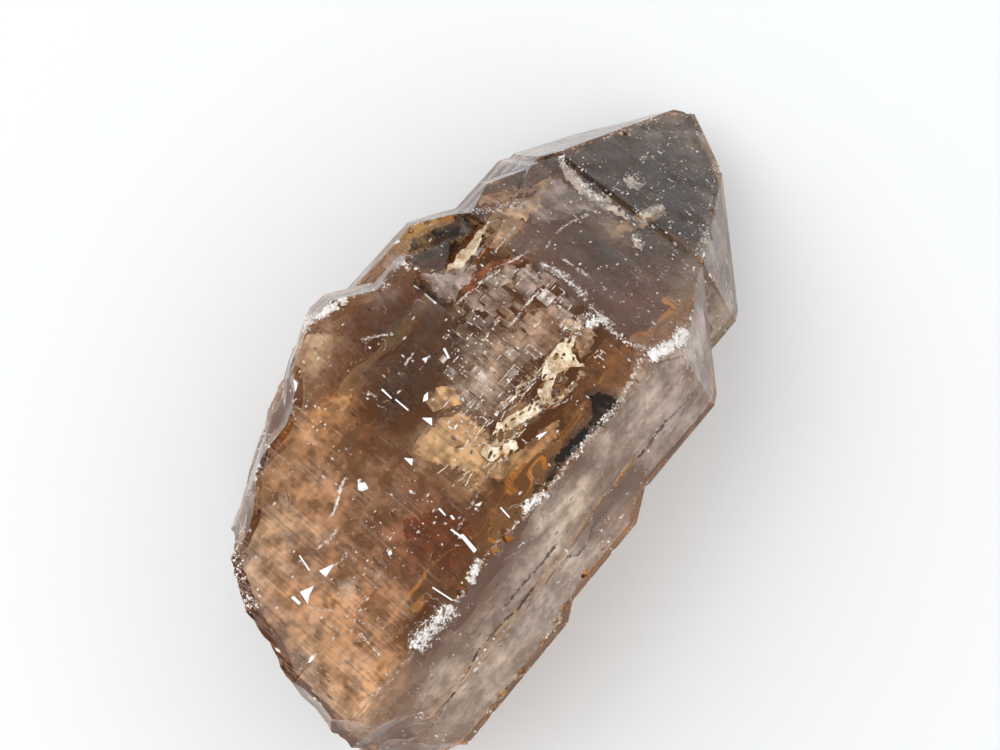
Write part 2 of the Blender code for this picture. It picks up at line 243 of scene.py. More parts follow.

# Clouds a little under the surface, some of them painted shade and some painted reflection, as marked below:
# pixel, half length along the axis and half width, colour and cover.
GOLD = (1.0, 0.7, 0.4)
TAN = (0.9, 0.53, 0.28)
CREAM = (0.97, 0.75, 0.54)
LILAC = (0.86, 0.78, 0.75)
PALE = (0.95, 0.86, 0.78)
# DARK is painted shade in the clouds, the planes and the slots beside the inner blocks; it also colours the
# dark fine lines.
DARK = (0.035, 0.02, 0.012)
RUST = (0.3, 0.085, 0.02)
AMBER = (0.4, 0.19, 0.075)
GREY = (0.6, 0.51, 0.48)
CLOUDS_AND_PAINTED_LIGHT = {
    "haze_low": ((330, 570), 140, 90, (0.86, 0.56, 0.36), 0.42),
    "haze_left": ((290, 470), 60, 40, (0.85, 0.55, 0.33), 0.38),
    "haze_middle": ((440, 500), 60, 60, (0.5, 0.28, 0.17), 0.3),
    "haze_upper": ((400, 340), 60, 70, (0.22, 0.155, 0.12), 0.45),
    "haze_base": ((330, 690), 60, 60, CREAM, 0.4),
    # Painted reflection: right_grey, right_grey_low and belly_grey are pale sheets on the right face standing
    # in for the pale room mirrored in it.
    "right_grey": ((600, 560), 120, 26, (0.66, 0.6, 0.58), 0.6),
    "right_grey_low": ((560, 640), 90, 40, (0.66, 0.6, 0.58), 0.5),
    "belly_grey": ((690, 420), 60, 26, (0.62, 0.56, 0.54), 0.6),
    "shelf_rim": ((440, 224), 12, 44, GREY, 0.6),
    "shelf_rim_low": ((384, 270), 30, 24, GREY, 0.6),
    "left_rim": ((300, 312), 30, 30, GREY, 0.4),
    "point_brown": ((640, 280), 70, 60, (0.16, 0.08, 0.045), 0.4),
    # Painted reflection: a pale grey sheet on the point's right side, for the pale room mirrored there.
    "point_side": ((716, 250), 60, 14, (0.5, 0.46, 0.45), 0.6),
    "gold_triangle": ((335, 418), 36, 22, (0.9, 0.52, 0.24), 0.4),
    "left_haze": ((312, 356), 44, 30, CREAM, 0.5),
    "left_side": ((286, 440), 50, 18, TAN, 0.35),
    # Painted shade: upper_dark and front_dark are dark sheets in the front face.
    "upper_dark": ((385, 318), 34, 40, DARK, 0.25),
    "front_dark": ((410, 394), 44, 24, DARK, 0.4),
    "mid_rust": ((372, 430), 26, 20, RUST, 0.4),
    "gold_bright": ((446, 436), 38, 17, (1.0, 0.76, 0.5), 0.95),
    "gold_low": ((476, 466), 32, 18, GOLD, 0.65),
    "gold_trench": ((508, 425), 30, 14, GOLD, 0.5),
    "lilac_blocks": ((494, 368), 46, 26, (1.0, 0.88, 0.78), 0.9),
    # Painted shade: a dark sheet among the blocks.
    "blocks_dark": ((466, 330), 26, 26, DARK, 0.35),
    "blocks_tan": ((548, 330), 26, 20, CREAM, 0.5),
    "amber_smooth": ((612, 362), 32, 26, AMBER, 0.6),
    # Painted shade along the main edge: edge_dark_high, edge_dark_mid and edge_dark_low.
    "edge_dark_high": ((598, 408), 13, 11, DARK, 0.85),
    "edge_dark_mid": ((576, 438), 16, 10, DARK, 0.8),
    "edge_dark_low": ((552, 466), 16, 9, DARK, 0.6),
    "rust": ((428, 538), 42, 42, RUST, 0.9),
    "rust_right": ((486, 506), 30, 24, AMBER, 0.4),
    "left_low": ((268, 550), 44, 34, CREAM, 0.55),
    "low_tan": ((335, 610), 56, 50, TAN, 0.6),
    "low_gold": ((300, 500), 34, 26, TAN, 0.35),
    "low_white": ((347, 588), 13, 10, PALE, 0.6),
    "base_tan": ((362, 672), 44, 44, TAN, 0.65),
    "base_white": ((352, 662), 9, 8, PALE, 0.5),
    # Painted shade: point_dark_left, point_dark_right and point_shade are dark sheets that darken the point.
    "point_dark_left": ((626, 172), 70, 72, (0.055, 0.021, 0.008), 0.72),
    "point_dark_right": ((690, 196), 80, 52, (0.055, 0.021, 0.008), 0.72),
    "point_shade": ((600, 250), 30, 50, DARK, 0.4),
    "point_warm": ((640, 292), 28, 34, AMBER, 0.3),
    "ledge_olive": ((612, 224), 12, 30, CREAM, 0.45),
    "upper_brown": ((506, 172), 30, 24, TAN, 0.4),
    # Painted shade: a dark sheet on the shelf.
    "shelf_dark": ((438, 240), 30, 22, DARK, 0.65),
    "shelf_olive": ((512, 236), 20, 14, GOLD, 0.5),
    "shelf_lilac": ((442, 286), 26, 11, LILAC, 0.6),
    # Painted reflection: right_lilac, right_tan, right_low, right_base and right_end are pale sheets on the
    # right face standing in for the pale room mirrored in it.
    "right_lilac": ((640, 410), 70, 40, LILAC, 0.75),
    "right_tan": ((566, 512), 46, 24, PALE, 0.9),
    "right_low": ((545, 590), 70, 40, LILAC, 0.7),
    "right_base": ((470, 680), 70, 40, PALE, 0.65),
    "right_end": ((706, 330), 60, 18, LILAC, 0.6),
}

# Planes inside the quartz that catch the light or keep it out, some of them painted shade and one a painted
# glint, as marked below: corners, colour, cover and depth in mm.
BROWN = (0.24, 0.13, 0.075)
# BLACK is painted shade, in the dark planes along the main edge.
BLACK = (0.016, 0.008, 0.005)
OLIVE = (0.66, 0.47, 0.29)
PLANES_AND_PAINTED_LIGHT = {
    # Painted shade: a dark sheet that darkens the point.
    "point_dark": (((560, 160), (600, 142), (640, 126), (672, 116), (700, 118), (714, 136), (714, 180),
                    (706, 228), (690, 240), (664, 230), (632, 219), (608, 201), (582, 181)),
                   (0.055, 0.021, 0.008), 0.45, 0.45),
    "shelf_left": (((402, 262), (360, 288), (350, 296), (392, 282), (430, 300),
                    (414, 274)), BROWN, 0.4, 0.5),
    "ledge_band": (((556, 158), (568, 165), (582, 181), (596, 192), (608, 201), (632, 219), (626, 220),
                    (602, 209), (588, 201), (574, 189), (560, 172)), PALE, 0.8, 0.25),
    "ledge_olive": (((474, 198), (500, 192), (530, 188), (553, 175), (548, 188), (520, 196), (500, 204),
                     (480, 206)), OLIVE, 0.6, 0.4),
    "upper_brown": (((474, 195), (500, 165), (520, 158), (554, 154), (560, 166), (540, 184), (520, 190),
                     (500, 192)), (0.16, 0.1, 0.07), 0.75, 0.5),
    "upper_grey": (((540, 186), (556, 178), (580, 194), (600, 208), (580, 214), (556, 222), (532, 226),
                    (528, 206)), GREY, 0.5, 0.5),
    "shelf_pale": (((497, 212), (520, 204), (538, 195), (542, 206), (530, 214), (528, 222),
                    (510, 219)), CREAM, 0.6, 0.35),
    # Painted shade: a dark sheet on the shelf.
    "shelf_dark": (((404, 262), (412, 240), (440, 226), (466, 222), (482, 224), (466, 240), (452, 256),
                    (440, 271), (424, 270)), DARK, 0.75, 0.6),
    "shelf_olive": (((484, 234), (494, 222), (512, 218), (524, 223), (518, 232), (506, 242), (496, 252),
                     (486, 247)), OLIVE, 0.6, 0.4),
    "shelf_brown": (((498, 257), (512, 236), (526, 224), (546, 236), (536, 254),
                     (514, 259)), BROWN, 0.6, 0.5),
    "hollow_lilac": (((414, 274), (440, 273), (466, 265), (480, 263), (472, 280), (462, 290), (452, 304),
                      (440, 298), (428, 284)), LILAC, 0.85, 0.25),
    "rust_rim": (((460, 292), (470, 276), (490, 262), (520, 256), (541, 257), (520, 263), (490, 273),
                  (477, 290), (468, 297)), (0.5, 0.2, 0.08), 0.7, 0.3),
    # Painted shade: a dark sheet in the slot.
    "dark_slot": (((410, 281), (420, 277), (436, 290), (454, 304), (448, 312), (434, 302),
                   (418, 291)), DARK, 0.8, 0.3),
    "block_lilac": (((514, 280), (526, 262), (540, 274), (536, 290), (526, 303),
                     (519, 293)), GREY, 0.75, 0.3),
    "block_pale": (((486, 273), (500, 265), (518, 264), (513, 282), (500, 287),
                    (488, 285)), PALE, 0.45, 0.4),
    "block_right": (((560, 262), (578, 272), (604, 292), (596, 304), (576, 290),
                     (562, 278)), BROWN, 0.5, 0.4),
    "pale_right": (((560, 318), (580, 322), (597, 334), (591, 350), (580, 362), (575, 344),
                    (566, 334)), CREAM, 0.75, 0.4),
    "pale_top": (((536, 310), (556, 304), (561, 320), (548, 334), (530, 336), (520, 326)),
                  (0.95, 0.74, 0.62), 0.6, 0.5),
    "gold_plane": (((430, 430), (438, 418), (462, 412), (480, 424), (500, 440), (506, 462), (470, 474),
                    (430, 462), (412, 454)), GOLD, 0.8, 0.45),
    "gold_plane_top": (((424, 398), (440, 384), (455, 388), (463, 405), (446, 411),
                        (430, 412)), GOLD, 0.7, 0.45),
    "gold_low": (((462, 472), (490, 462), (520, 450), (540, 430), (560, 418), (560, 436), (530, 462),
                  (500, 482)), (0.85, 0.55, 0.3), 0.55, 0.6),
    "smooth_brown": (((562, 410), (584, 366), (606, 340), (630, 346), (636, 360), (622, 392), (598, 392),
                      (580, 420), (566, 434)), AMBER, 0.5, 0.9),
    # Painted shade along the main edge: edge_shade and the edge_dark planes.
    "edge_shade": (((580, 392), (600, 384), (622, 394), (618, 408), (604, 424), (584, 446), (560, 470),
                    (548, 486), (538, 482), (556, 456), (578, 428), (586, 410)), BROWN, 0.6, 0.6),
    "edge_dark": (((588, 396), (601, 392), (616, 397), (620, 403), (606, 418), (598, 428), (588, 428),
                   (592, 412)), BLACK, 0.9, 0.3),
    "edge_dark_middle": (((579, 430), (590, 426), (586, 442), (571, 457), (556, 465), (552, 458),
                          (564, 446), (574, 438)), BLACK, 0.9, 0.3),
    "edge_dark_low": (((555, 465), (565, 461), (552, 481), (543, 487), (546, 475)), BLACK, 0.85, 0.3),
    "edge_dark_lowest": (((534, 484), (544, 480), (540, 492), (532, 495)), BLACK, 0.8, 0.3),
    "point_band": (((604, 242), (620, 223), (640, 211), (664, 204), (668, 212), (650, 226),
                    (626, 235)), OLIVE, 0.5, 0.4),
    "point_lens": (((640, 216), (650, 209), (660, 204), (664, 208), (656, 216),
                    (646, 221)), PALE, 0.85, 0.2),
    "point_patch": (((621, 178), (632, 176), (641, 186), (636, 192), (626, 187)), PALE, 0.7, 0.25),
    "gold_triangle": (((305, 412), (330, 398), (352, 394), (350, 408), (338, 424), (320, 441),
                       (308, 426)), (0.95, 0.6, 0.3), 0.45, 0.7),
    "gold_triangle_pale": (((290, 404), (306, 410), (320, 441), (330, 450), (306, 444),
                            (294, 424)), CREAM, 0.4, 0.5),
    "left_haze": (((296, 344), (320, 330), (336, 336), (330, 362), (312, 378),
                   (294, 366)), CREAM, 0.4, 0.6),
    "corner_pit": (((306, 334), (312, 322), (322, 322), (318, 332), (310, 336)), BROWN, 0.6, 0.3),
    # Painted glint: a pale sheet under the lower etch pit.
    "low_triangle": (((318, 572), (336, 563), (327, 578)), PALE, 0.9, 0.2),
    "low_pale": (((336, 582), (348, 576), (362, 584), (352, 600), (340, 596)), PALE, 0.5, 0.8),
    "rust_plane": (((402, 520), (440, 508), (470, 520), (478, 548), (450, 570), (418, 560),
                    (404, 544)), RUST, 0.5, 1.0),
}

# The outlines of fields of fine lines, in pixels.
HATCH_FIELDS = {
    "middle": ((372, 372), (400, 362), (430, 384), (444, 400), (430, 416), (400, 414), (384, 398)),
    "middle_low": ((378, 412), (424, 420), (408, 456), (372, 444)),
    "upper": ((340, 320), (400, 300), (440, 330), (444, 372), (396, 366), (356, 352)),
    "left": ((296, 344), (350, 330), (376, 372), (350, 420), (300, 400)),
    "low": ((250, 520), (330, 500), (420, 560), (400, 660), (340, 680), (270, 600)),
    "gold": ((430, 390), (480, 400), (520, 440), (480, 480), (430, 466)),
    "blocks": ((446, 384), (440, 350), (452, 310), (500, 270), (540, 268), (600, 310), (556, 340),
               (530, 384), (478, 404)),
    "right_upper": ((650, 400), (690, 372), (704, 400), (640, 480), (590, 520), (560, 510)),
    "right_middle": ((560, 500), (620, 460), (600, 560), (540, 620), (480, 680), (460, 640)),
    "right_low": ((460, 640), (560, 560), (580, 610), (500, 720), (430, 740), (400, 700)),
    "point_right": ((704, 210), (722, 180), (732, 300), (716, 350), (700, 300)),
}

# The lines in them: field, lines, colour, cover, and whether they lie along the axis.
HATCHES = (
    ("middle", 260, DARK, 0.6, False),
    ("middle_low", 120, DARK, 0.4, False),
    ("upper", 260, DARK, 0.35, False),
    ("left", 220, DARK, 0.25, False),
    ("left", 160, CREAM, 0.3, False),
    ("low", 200, DARK, 0.25, False),
    ("low", 120, CREAM, 0.3, False),
    ("gold", 120, BROWN, 0.4, False),
    ("blocks", 130, DARK, 0.55, False),
    ("blocks", 200, PALE, 0.7, False),
    ("right_upper", 240, DARK, 0.5, True),
    ("right_upper", 160, PALE, 0.5, True),
    ("right_middle", 260, DARK, 0.45, True),
    ("right_middle", 180, PALE, 0.5, True),
    ("right_low", 260, DARK, 0.45, True),
    ("point_right", 120, DARK, 0.5, True),
    ("point_right", 100, PALE, 0.8, True),
)

# Growth blocks etched into the front face: the outline of their field in pixels.
BLOCK_FIELD = ((452, 300), (520, 262), (560, 280), (636, 340), (600, 400), (540, 440), (470, 450),
               (430, 400))
BRICK_FIELD = ((452, 310), (500, 270), (540, 268), (600, 310), (590, 330), (556, 340), (540, 372),
               (500, 402), (470, 406), (444, 384), (440, 350))
BRICK_COLOURS = (PALE, LILAC, PALE, CREAM, GREY, (0.72, 0.5, 0.38), BROWN)

# The trench's band of clay, white and brown strands.
TRENCH = ((452, 456), (470, 434), (500, 408), (530, 380), (546, 352), (560, 340), (574, 352), (580, 368),
          (562, 394), (536, 416), (522, 440), (505, 464), (470, 478))


def camera_matrix():
    """The photograph's camera as a world matrix."""
    turn = Matrix((CAMERA_RIGHT, CAMERA_UP, CAMERA_BACK)).transposed()
    return Matrix.Translation(CAMERA_AT) @ turn.to_4x4()


def photo_ray(pixel):
    """The direction in which the photograph's camera sees a pixel."""
    across = (pixel[0] - PHOTO_SIZE[0] / 2) / PHOTO_SIZE[0] * SENSOR / LENS
    up = (PHOTO_SIZE[1] / 2 - pixel[1]) / PHOTO_SIZE[0] * SENSOR / LENS
    return (CAMERA_RIGHT * across + CAMERA_UP * up - CAMERA_BACK).normalized()


def merged_copy(node):
    """A bmesh of the CAD node with its loose triangles joined."""
    bm = bmesh.new()
    bm.from_mesh(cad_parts[node].data)
    bmesh.ops.remove_doubles(bm, verts=bm.verts, dist=MERGE)
    return bm


def drop_loose(bm):
    """Removes the edges and vertices that no face uses."""
    bmesh.ops.delete(bm, geom=[edge for edge in bm.edges if not edge.link_faces], context="EDGES")
    bmesh.ops.delete(bm, geom=[vert for vert in bm.verts if not vert.link_faces], context="VERTS")


def crystal_tree():
    """A search tree of the CAD crystal, made once."""
    if "tree" not in SHARED:
        bm = merged_copy(NODE)
        bm.normal_update()
        SHARED["tree"] = BVHTree.FromBMesh(bm)
        bm.free()
    return SHARED["tree"]


def on_crystal(pixel):
    """Where a photograph pixel falls on the crystal: the point and its face's normal, or None."""
    point, normal, face, far = crystal_tree().ray_cast(CAMERA_AT, photo_ray(pixel))
    return (point, normal) if point else None


def pixel_of(point):
    """The photograph pixel at which a point is seen."""
    seen = point - CAMERA_AT
    away = -seen.dot(CAMERA_BACK)
    scale = PHOTO_SIZE[0] * LENS / SENSOR / away
    across, up = seen.dot(CAMERA_RIGHT) * scale, seen.dot(CAMERA_UP) * scale
    return PHOTO_SIZE[0] / 2 + across, PHOTO_SIZE[1] / 2 - up


def under_surface(point):
    """How deep a point lies inside the crystal, negative outside it."""
    near, normal, face, far = crystal_tree().find_nearest(point)
    return (near - point).dot(normal)


def in_outline(pixel, outline):
    """Whether a pixel lies in a closed outline of pixels."""
    inside = False
    for a, b in zip(outline, outline[1:] + outline[:1]):
        crosses = (a[1] > pixel[1]) != (b[1] > pixel[1])
        if crosses and pixel[0] < (b[0] - a[0]) * (pixel[1] - a[1]) / (b[1] - a[1]) + a[0]:
            inside = not inside
    return inside


def along(line, rng):
    """A random pixel on a line of pixels, and the line's direction there."""
    lengths = [math.dist(a, b) for a, b in zip(line, line[1:])]
    pick = rng.uniform(0, sum(lengths))
    for a, b, length in zip(line, line[1:], lengths):
        if pick <= length:
            break
        pick -= length
    part = min(pick / length, 1.0)
    way = (b[0] - a[0], b[1] - a[1])
    return (a[0] + way[0] * part, a[1] + way[1] * part), (way[0] / length, way[1] / length)


def extent(outline):
    """The lowest and the highest x and y of an outline of pixels."""
    return tuple(tuple(pick(values) for values in zip(*outline)) for pick in (min, max))


def random_pixel(rng, outline):
    """A random pixel in the box around an outline."""
    low, high = extent(outline)
    return tuple(rng.uniform(a, b) for a, b in zip(low, high))


def random_vector(rng, spread=1.0, lift=0.0):
    """A vector of random way and length, raised by lift."""
    return Vector((rng.gauss(0, spread), rng.gauss(0, spread), rng.gauss(0, spread) + lift))


def grown(pixel):
    """How far a pixel lies along and across the crystal's axis in the photograph."""
    shown_x, shown_y = AXIS_SHOWN
    return pixel[0] * shown_x - pixel[1] * shown_y, pixel[0] * shown_y + pixel[1] * shown_x


def facing(normal, lead=None):
    """A turn whose Z is the normal and whose X follows lead as far as it can."""
    lead = lead if lead is not None and lead.cross(normal).length > 1e-6 else normal.orthogonal()
    side = normal.cross(lead).normalized()
    return Matrix((side.cross(normal), side, normal)).transposed()


def mesh_of(name, bm):
    """Turns a bmesh into a mesh and frees it."""
    mesh = bpy.data.meshes.new(name)
    bm.to_mesh(mesh)
    bm.free()
    return mesh


def move_into(whole, part):
    """Adds one bmesh to another and frees it."""
    mesh = mesh_of("part", part)
    whole.from_mesh(mesh)
    bpy.data.meshes.remove(mesh)


def evaluated(holder):
    """A bmesh of an object as its modifiers leave it."""
    bpy.context.view_layer.update()
    graph = bpy.context.evaluated_depsgraph_get()
    mesh = bpy.data.meshes.new_from_object(holder.evaluated_get(graph))
    bm = bmesh.new()
    bm.from_mesh(mesh)
    bpy.data.meshes.remove(mesh)
    return bm


def discard(holder):
    """Removes a helper object with its mesh."""
    mesh = holder.data
    bpy.data.objects.remove(holder)
    bpy.data.meshes.remove(mesh)


def add_object(name, content):
    """An object of a mesh, light or camera, linked to the scene."""
    made = bpy.data.objects.new(name, content)
    bpy.context.scene.collection.objects.link(made)
    return made


def new_piece(name, bm, material):
    """Makes a piece of a bmesh that rides on the crystal's body."""
    mesh = mesh_of(name, bm)
    mesh.materials.append(material)
    piece = add_object(name, mesh)
    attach(piece, BODY)
    return piece


class Flakes:
    """Gathers many small flakes into one mesh, in batches so that adding stays quick."""

    BATCH = 150
    SIDES = 5

    def __init__(self, rng):
        self.rng = rng
        self.batches = []
        self.bm = bmesh.new()
        self.count = 0

    def add(self, at, normal, size, lead=None):
        """Adds a jittered flake; size is its half length, half width and half height in metres."""
        turn = facing(normal, lead).to_4x4()
        place = Matrix.Translation(at) @ turn @ Matrix.Diagonal((*size, 1.0))
        shape = {"segments": self.SIDES, "radius1": 1.0, "radius2": 0.0, "depth": 1.6}
        verts = bmesh.ops.create_cone(self.bm, cap_ends=True, cap_tris=True, **shape)["verts"]
        for vert in verts:
            vert.co *= self.rng.uniform(0.55, 1.25)
        bmesh.ops.transform(self.bm, matrix=place, verts=verts)
        self.count += 1
        if self.count % self.BATCH == 0:
            self.close_batch()

    def close_batch(self):
        """Sets the flakes added so far aside."""
        self.batches.append(mesh_of("flake batch", self.bm))
        self.bm = bmesh.new()

    def piece(self, name, material):
        """The gathered flakes as one piece."""
        self.close_batch()
        self.bm.free()
        whole = bmesh.new()
        for mesh in self.batches:
            whole.from_mesh(mesh)
            bpy.data.meshes.remove(mesh)
        if not whole.faces:
            raise RuntimeError(f"{name} has no flakes")
        return new_piece(name, whole, material)


# Materials. Lengths inside them are metres, so a texture scale of 1000 is one repeat a millimetre.


def new_material(name):
    """An empty material with its output and Principled BSDF."""
    material = bpy.data.materials.new(name)
    material.use_nodes = True
    nodes = material.node_tree.nodes
    nodes.clear()
    out = nodes.new("ShaderNodeOutputMaterial")
    shader = nodes.new("ShaderNodeBsdfPrincipled")
    material.node_tree.links.new(shader.outputs["BSDF"], out.inputs["Surface"])
    return material, shader, out


def node(tree, kind, inputs=None, **settings):
    """Adds a node, with settings and input values; an input given as a socket is linked."""
    made = tree.nodes.new(kind)
    for key, value in settings.items():
        setattr(made, key, value)
    for key, value in (inputs or {}).items():
        if isinstance(value, bpy.types.NodeSocket):
            tree.links.new(value, made.inputs[key])
        else:
            made.inputs[key].default_value = value
    return made


def object_place(tree, scale=(1, 1, 1)):
    """Object coordinates, stretched by a Mapping node."""
    coordinates = node(tree, "ShaderNodeTexCoord")
    inputs = {"Vector": coordinates.outputs["Object"], "Scale": scale}
    return node(tree, "ShaderNodeMapping", inputs).outputs["Vector"]


def noise_value(tree, place, scale, detail, roughness=0.5):
    """The value of a noise texture."""
    inputs = {"Vector": place, "Scale": scale, "Detail": detail, "Roughness": roughness}
    return node(tree, "ShaderNodeTexNoise", inputs).outputs["Fac"]


def mixed(tree, factor, a, b):
    """Mixes two values by a factor."""
    return node(tree, "ShaderNodeMix", {0: factor, 2: a, 3: b}).outputs[0]


def ramp(tree, value, stops):
    """A colour ramp on a value; stops are (position, colour)."""
    made = node(tree, "ShaderNodeValToRGB", {"Fac": value})
    band = made.color_ramp
    while len(band.elements) < len(stops):
        band.elements.new(0.5)
    for element, (position, colour) in zip(band.elements, stops):
        element.position = position
        element.color = colour if len(colour) == 4 else (*colour, 1.0)
    return made.outputs["Color"]


def ranged(tree, value, low, high, to_low, to_high):
    """Maps a value from one range to another, held at the ends."""
    inputs = {"Value": value, "From Min": low, "From Max": high, "To Min": to_low, "To Max": to_high}
    return node(tree, "ShaderNodeMapRange", inputs).outputs["Result"]


def sums(tree, kind, a, b):
    """The sum, difference or product of two values or sockets."""
    return node(tree, "ShaderNodeMath", {0: a, 1: b}, operation=kind).outputs["Value"]


def blended(tree, factor, a, b):
    """Mixes two colours by a factor."""
    return node(tree, "ShaderNodeMix", {0: factor, 6: a, 7: b}, data_type="RGBA").outputs[2]


def speckle_group():
    """A shared group: two colours mixed by coarse and fine noise, with a height and a mask."""
    if "speckle" in SHARED:
        return SHARED["speckle"]
    tree = bpy.data.node_groups.new("mineral speckle", "ShaderNodeTree")
    asked = {"Vector": "Vector", "Light": "Color", "Dark": "Color", "Scale": "Float", "Cover": "Float"}
    for name, kind in asked.items():
        tree.interface.new_socket(name, in_out="INPUT", socket_type=f"NodeSocket{kind}")
    for name, kind in {"Color": "Color", "Height": "Float", "Mask": "Float"}.items():
        tree.interface.new_socket(name, in_out="OUTPUT", socket_type=f"NodeSocket{kind}")
    given = tree.nodes.new("NodeGroupInput").outputs
    coarse = noise_value(tree, given["Vector"], sums(tree, "MULTIPLY", given["Scale"], 0.22), 4.0)
    fine = noise_value(tree, given["Vector"], given["Scale"], 3.0)
    cells = node(tree, "ShaderNodeTexVoronoi", {"Vector": given["Vector"], "Scale": given["Scale"]})
    both = sums(tree, "ADD", sums(tree, "MULTIPLY", coarse, 0.55), sums(tree, "MULTIPLY", fine, 0.45))
    # The dark colour lies where the height is low: painted shade in the grain's hollows.
    tone = ranged(tree, both, 0.35, 0.65, 0.0, 1.0)
    edge = ranged(tree, sums(tree, "SUBTRACT", 1.0, given["Cover"]), 0.0, 1.0, 0.33, 0.67)
    results = {
        "Color": blended(tree, tone, given["Dark"], given["Light"]),
        "Height": sums(tree, "ADD", both, sums(tree, "MULTIPLY", cells.outputs["Distance"], 0.4)),
        "Mask": ranged(tree, sums(tree, "SUBTRACT", both, edge), -0.02, 0.02, 0.0, 1.0),
    }
    node(tree, "NodeGroupOutput", results)
    SHARED["speckle"] = tree
    return tree


def speckled(tree, light, dark, scale, cover=1.0):
    """Places the speckle group on the piece's Object coordinates."""
    inputs = {"Vector": object_place(tree), "Scale": scale, "Cover": cover}
    inputs |= {"Light": (*light, 1.0), "Dark": (*dark, 1.0)}
    return node(tree, "ShaderNodeGroup", inputs, node_tree=speckle_group())


def bumped(tree, shader, height, strength, distance):
    """Feeds a height to a shader's normal."""
    bump = node(tree, "ShaderNodeBump", {"Height": height, "Strength": strength, "Distance": distance})
    tree.links.new(bump.outputs["Normal"], shader.inputs["Normal"])


def mineral(name, light, dark, scale, rough, bump=None):
    """A mineral in two colours, with its range of roughness and its bump's strength and distance."""
    material, shader, out = new_material(name)
    tree = material.node_tree
    grain = speckled(tree, light, dark, scale)
    tree.links.new(grain.outputs["Color"], shader.inputs["Base Color"])
    tree.links.new(ranged(tree, grain.outputs["Height"], 0.3, 0.8, *rough), shader.inputs["Roughness"])
    if bump:
        bumped(tree, shader, grain.outputs["Height"], *bump)
    return material


def smoky_glass(settings):
    """Smoky quartz: clear and absorbing, with fine growth lines across the axis and slow waves."""
    material, shader, out = new_material("smoky quartz")
    tree = material.node_tree
    shader.inputs["Transmission Weight"].default_value = 1.0
    shader.inputs["IOR"].default_value = 1.544
    shader.inputs["Metallic"].default_value = 0.0
    inputs = {"Color": (*settings.smoke, 1.0), "Density": settings.smoke_density}
    smoke = node(tree, "ShaderNodeVolumeAbsorption", inputs)
    tree.links.new(smoke.outputs["Volume"], out.inputs["Volume"])

    lines = noise_value(tree, object_place(tree, (1.0, 0.05, 0.05)), 1700.0, 0.0)
    waves = noise_value(tree, object_place(tree, (1.0, 1.4, 1.4)), 140.0, 0.0)
    bumped(tree, shader, sums(tree, "ADD", sums(tree, "MULTIPLY", lines, 0.1), waves), 0.42, 0.0012)

    place = object_place(tree)
    frost = noise_value(tree, place, 60.0, 1.0)
    tree.links.new(ranged(tree, frost, 0.5, 0.72, 0.015, 0.16), shader.inputs["Roughness"])
    stops = ((0.3, settings.tint_dark), (0.5, settings.tint_warm), (0.7, settings.tint_clear))
    tree.links.new(ramp(tree, noise_value(tree, place, 28.0, 1.0), stops), shader.inputs["Base Color"])
    return material


def bruise_white(settings):
    """Crushed white quartz: bright, darker and faintly warm in its hollows as painted shade, with a grainy
    bump.
    """
    return mineral("bruised white", settings.white, (0.62, 0.56, 0.5), 1500.0, (0.35, 0.7), (0.6, 0.0002))


def chip_frost(settings):
    """The frosted scars of small chips: white where the noise covers them."""
    material, shader, out = new_material("chip frost")
    tree = material.node_tree
    grain = speckled(tree, settings.white, (0.5, 0.45, 0.4), 1300.0, 0.52)
    tree.links.new(grain.outputs["Color"], shader.inputs["Base Color"])
    tree.links.new(grain.outputs["Mask"], shader.inputs["Alpha"])
    shader.inputs["Roughness"].default_value = 0.5
    bumped(tree, shader, grain.outputs["Height"], 0.5, 0.0002)
    return material


def flash_white(settings):
    """Painted glints on the etch pits' floors: smooth, near white."""
    return mineral("etch pit glint", settings.white, (0.82, 0.8, 0.78), 700.0, (0.15, 0.35))


def wisp_white():
    """Grey-white flecks inside the quartz."""
    return mineral("inner wisp", (0.98, 0.93, 0.86), (0.5, 0.42, 0.34), 260.0, (0.25, 0.5))


def clay_material(settings):
    """Clay in pale gold; its pale high parts are partly painted highlight and its darker hollows partly
    painted shade.
    """
    return mineral("gold clay with painted highlight and shade", settings.clay_light_and_highlight, settings.clay_dark_and_shade, 1700.0, (0.55, 0.95), (0.8, 0.0004))


def dark_material():
    """Dark brown stain in cracks and pits."""
    return mineral("dark stain", (0.12, 0.065, 0.035), (0.03, 0.018, 0.012), 900.0, (0.3, 0.6), (0.4, 0.0002))


def cloud_grain(tree):
    """Grain that breaks the clouds up along or across the axis, and how far a face is a front face."""
    across = noise_value(tree, object_place(tree, (1.0, 0.05, 0.05)), 1900.0, 1.0)
    lengthwise = noise_value(tree, object_place(tree, (0.07, 1.0, 1.0)), 900.0, 1.0)
    mottle = noise_value(tree, object_place(tree), 230.0, 2.0, 0.75)
    normal = node(tree, "ShaderNodeNewGeometry").outputs["Normal"]
    sideways = node(tree, "ShaderNodeSeparateXYZ", {"Vector": normal}).outputs
    is_front = ranged(tree, sideways["Z"], 0.75, 0.9, 0.0, 1.0)
    is_point = ranged(tree, sideways["X"], 0.2, 0.35, 0.0, 1.0)
    lined = mixed(tree, is_point, mixed(tree, is_front, lengthwise, across), mottle)
    grain = sums(tree, "ADD", sums(tree, "MULTIPLY", lined, 0.25), sums(tree, "MULTIPLY", mottle, 1.05))
    return grain, is_front


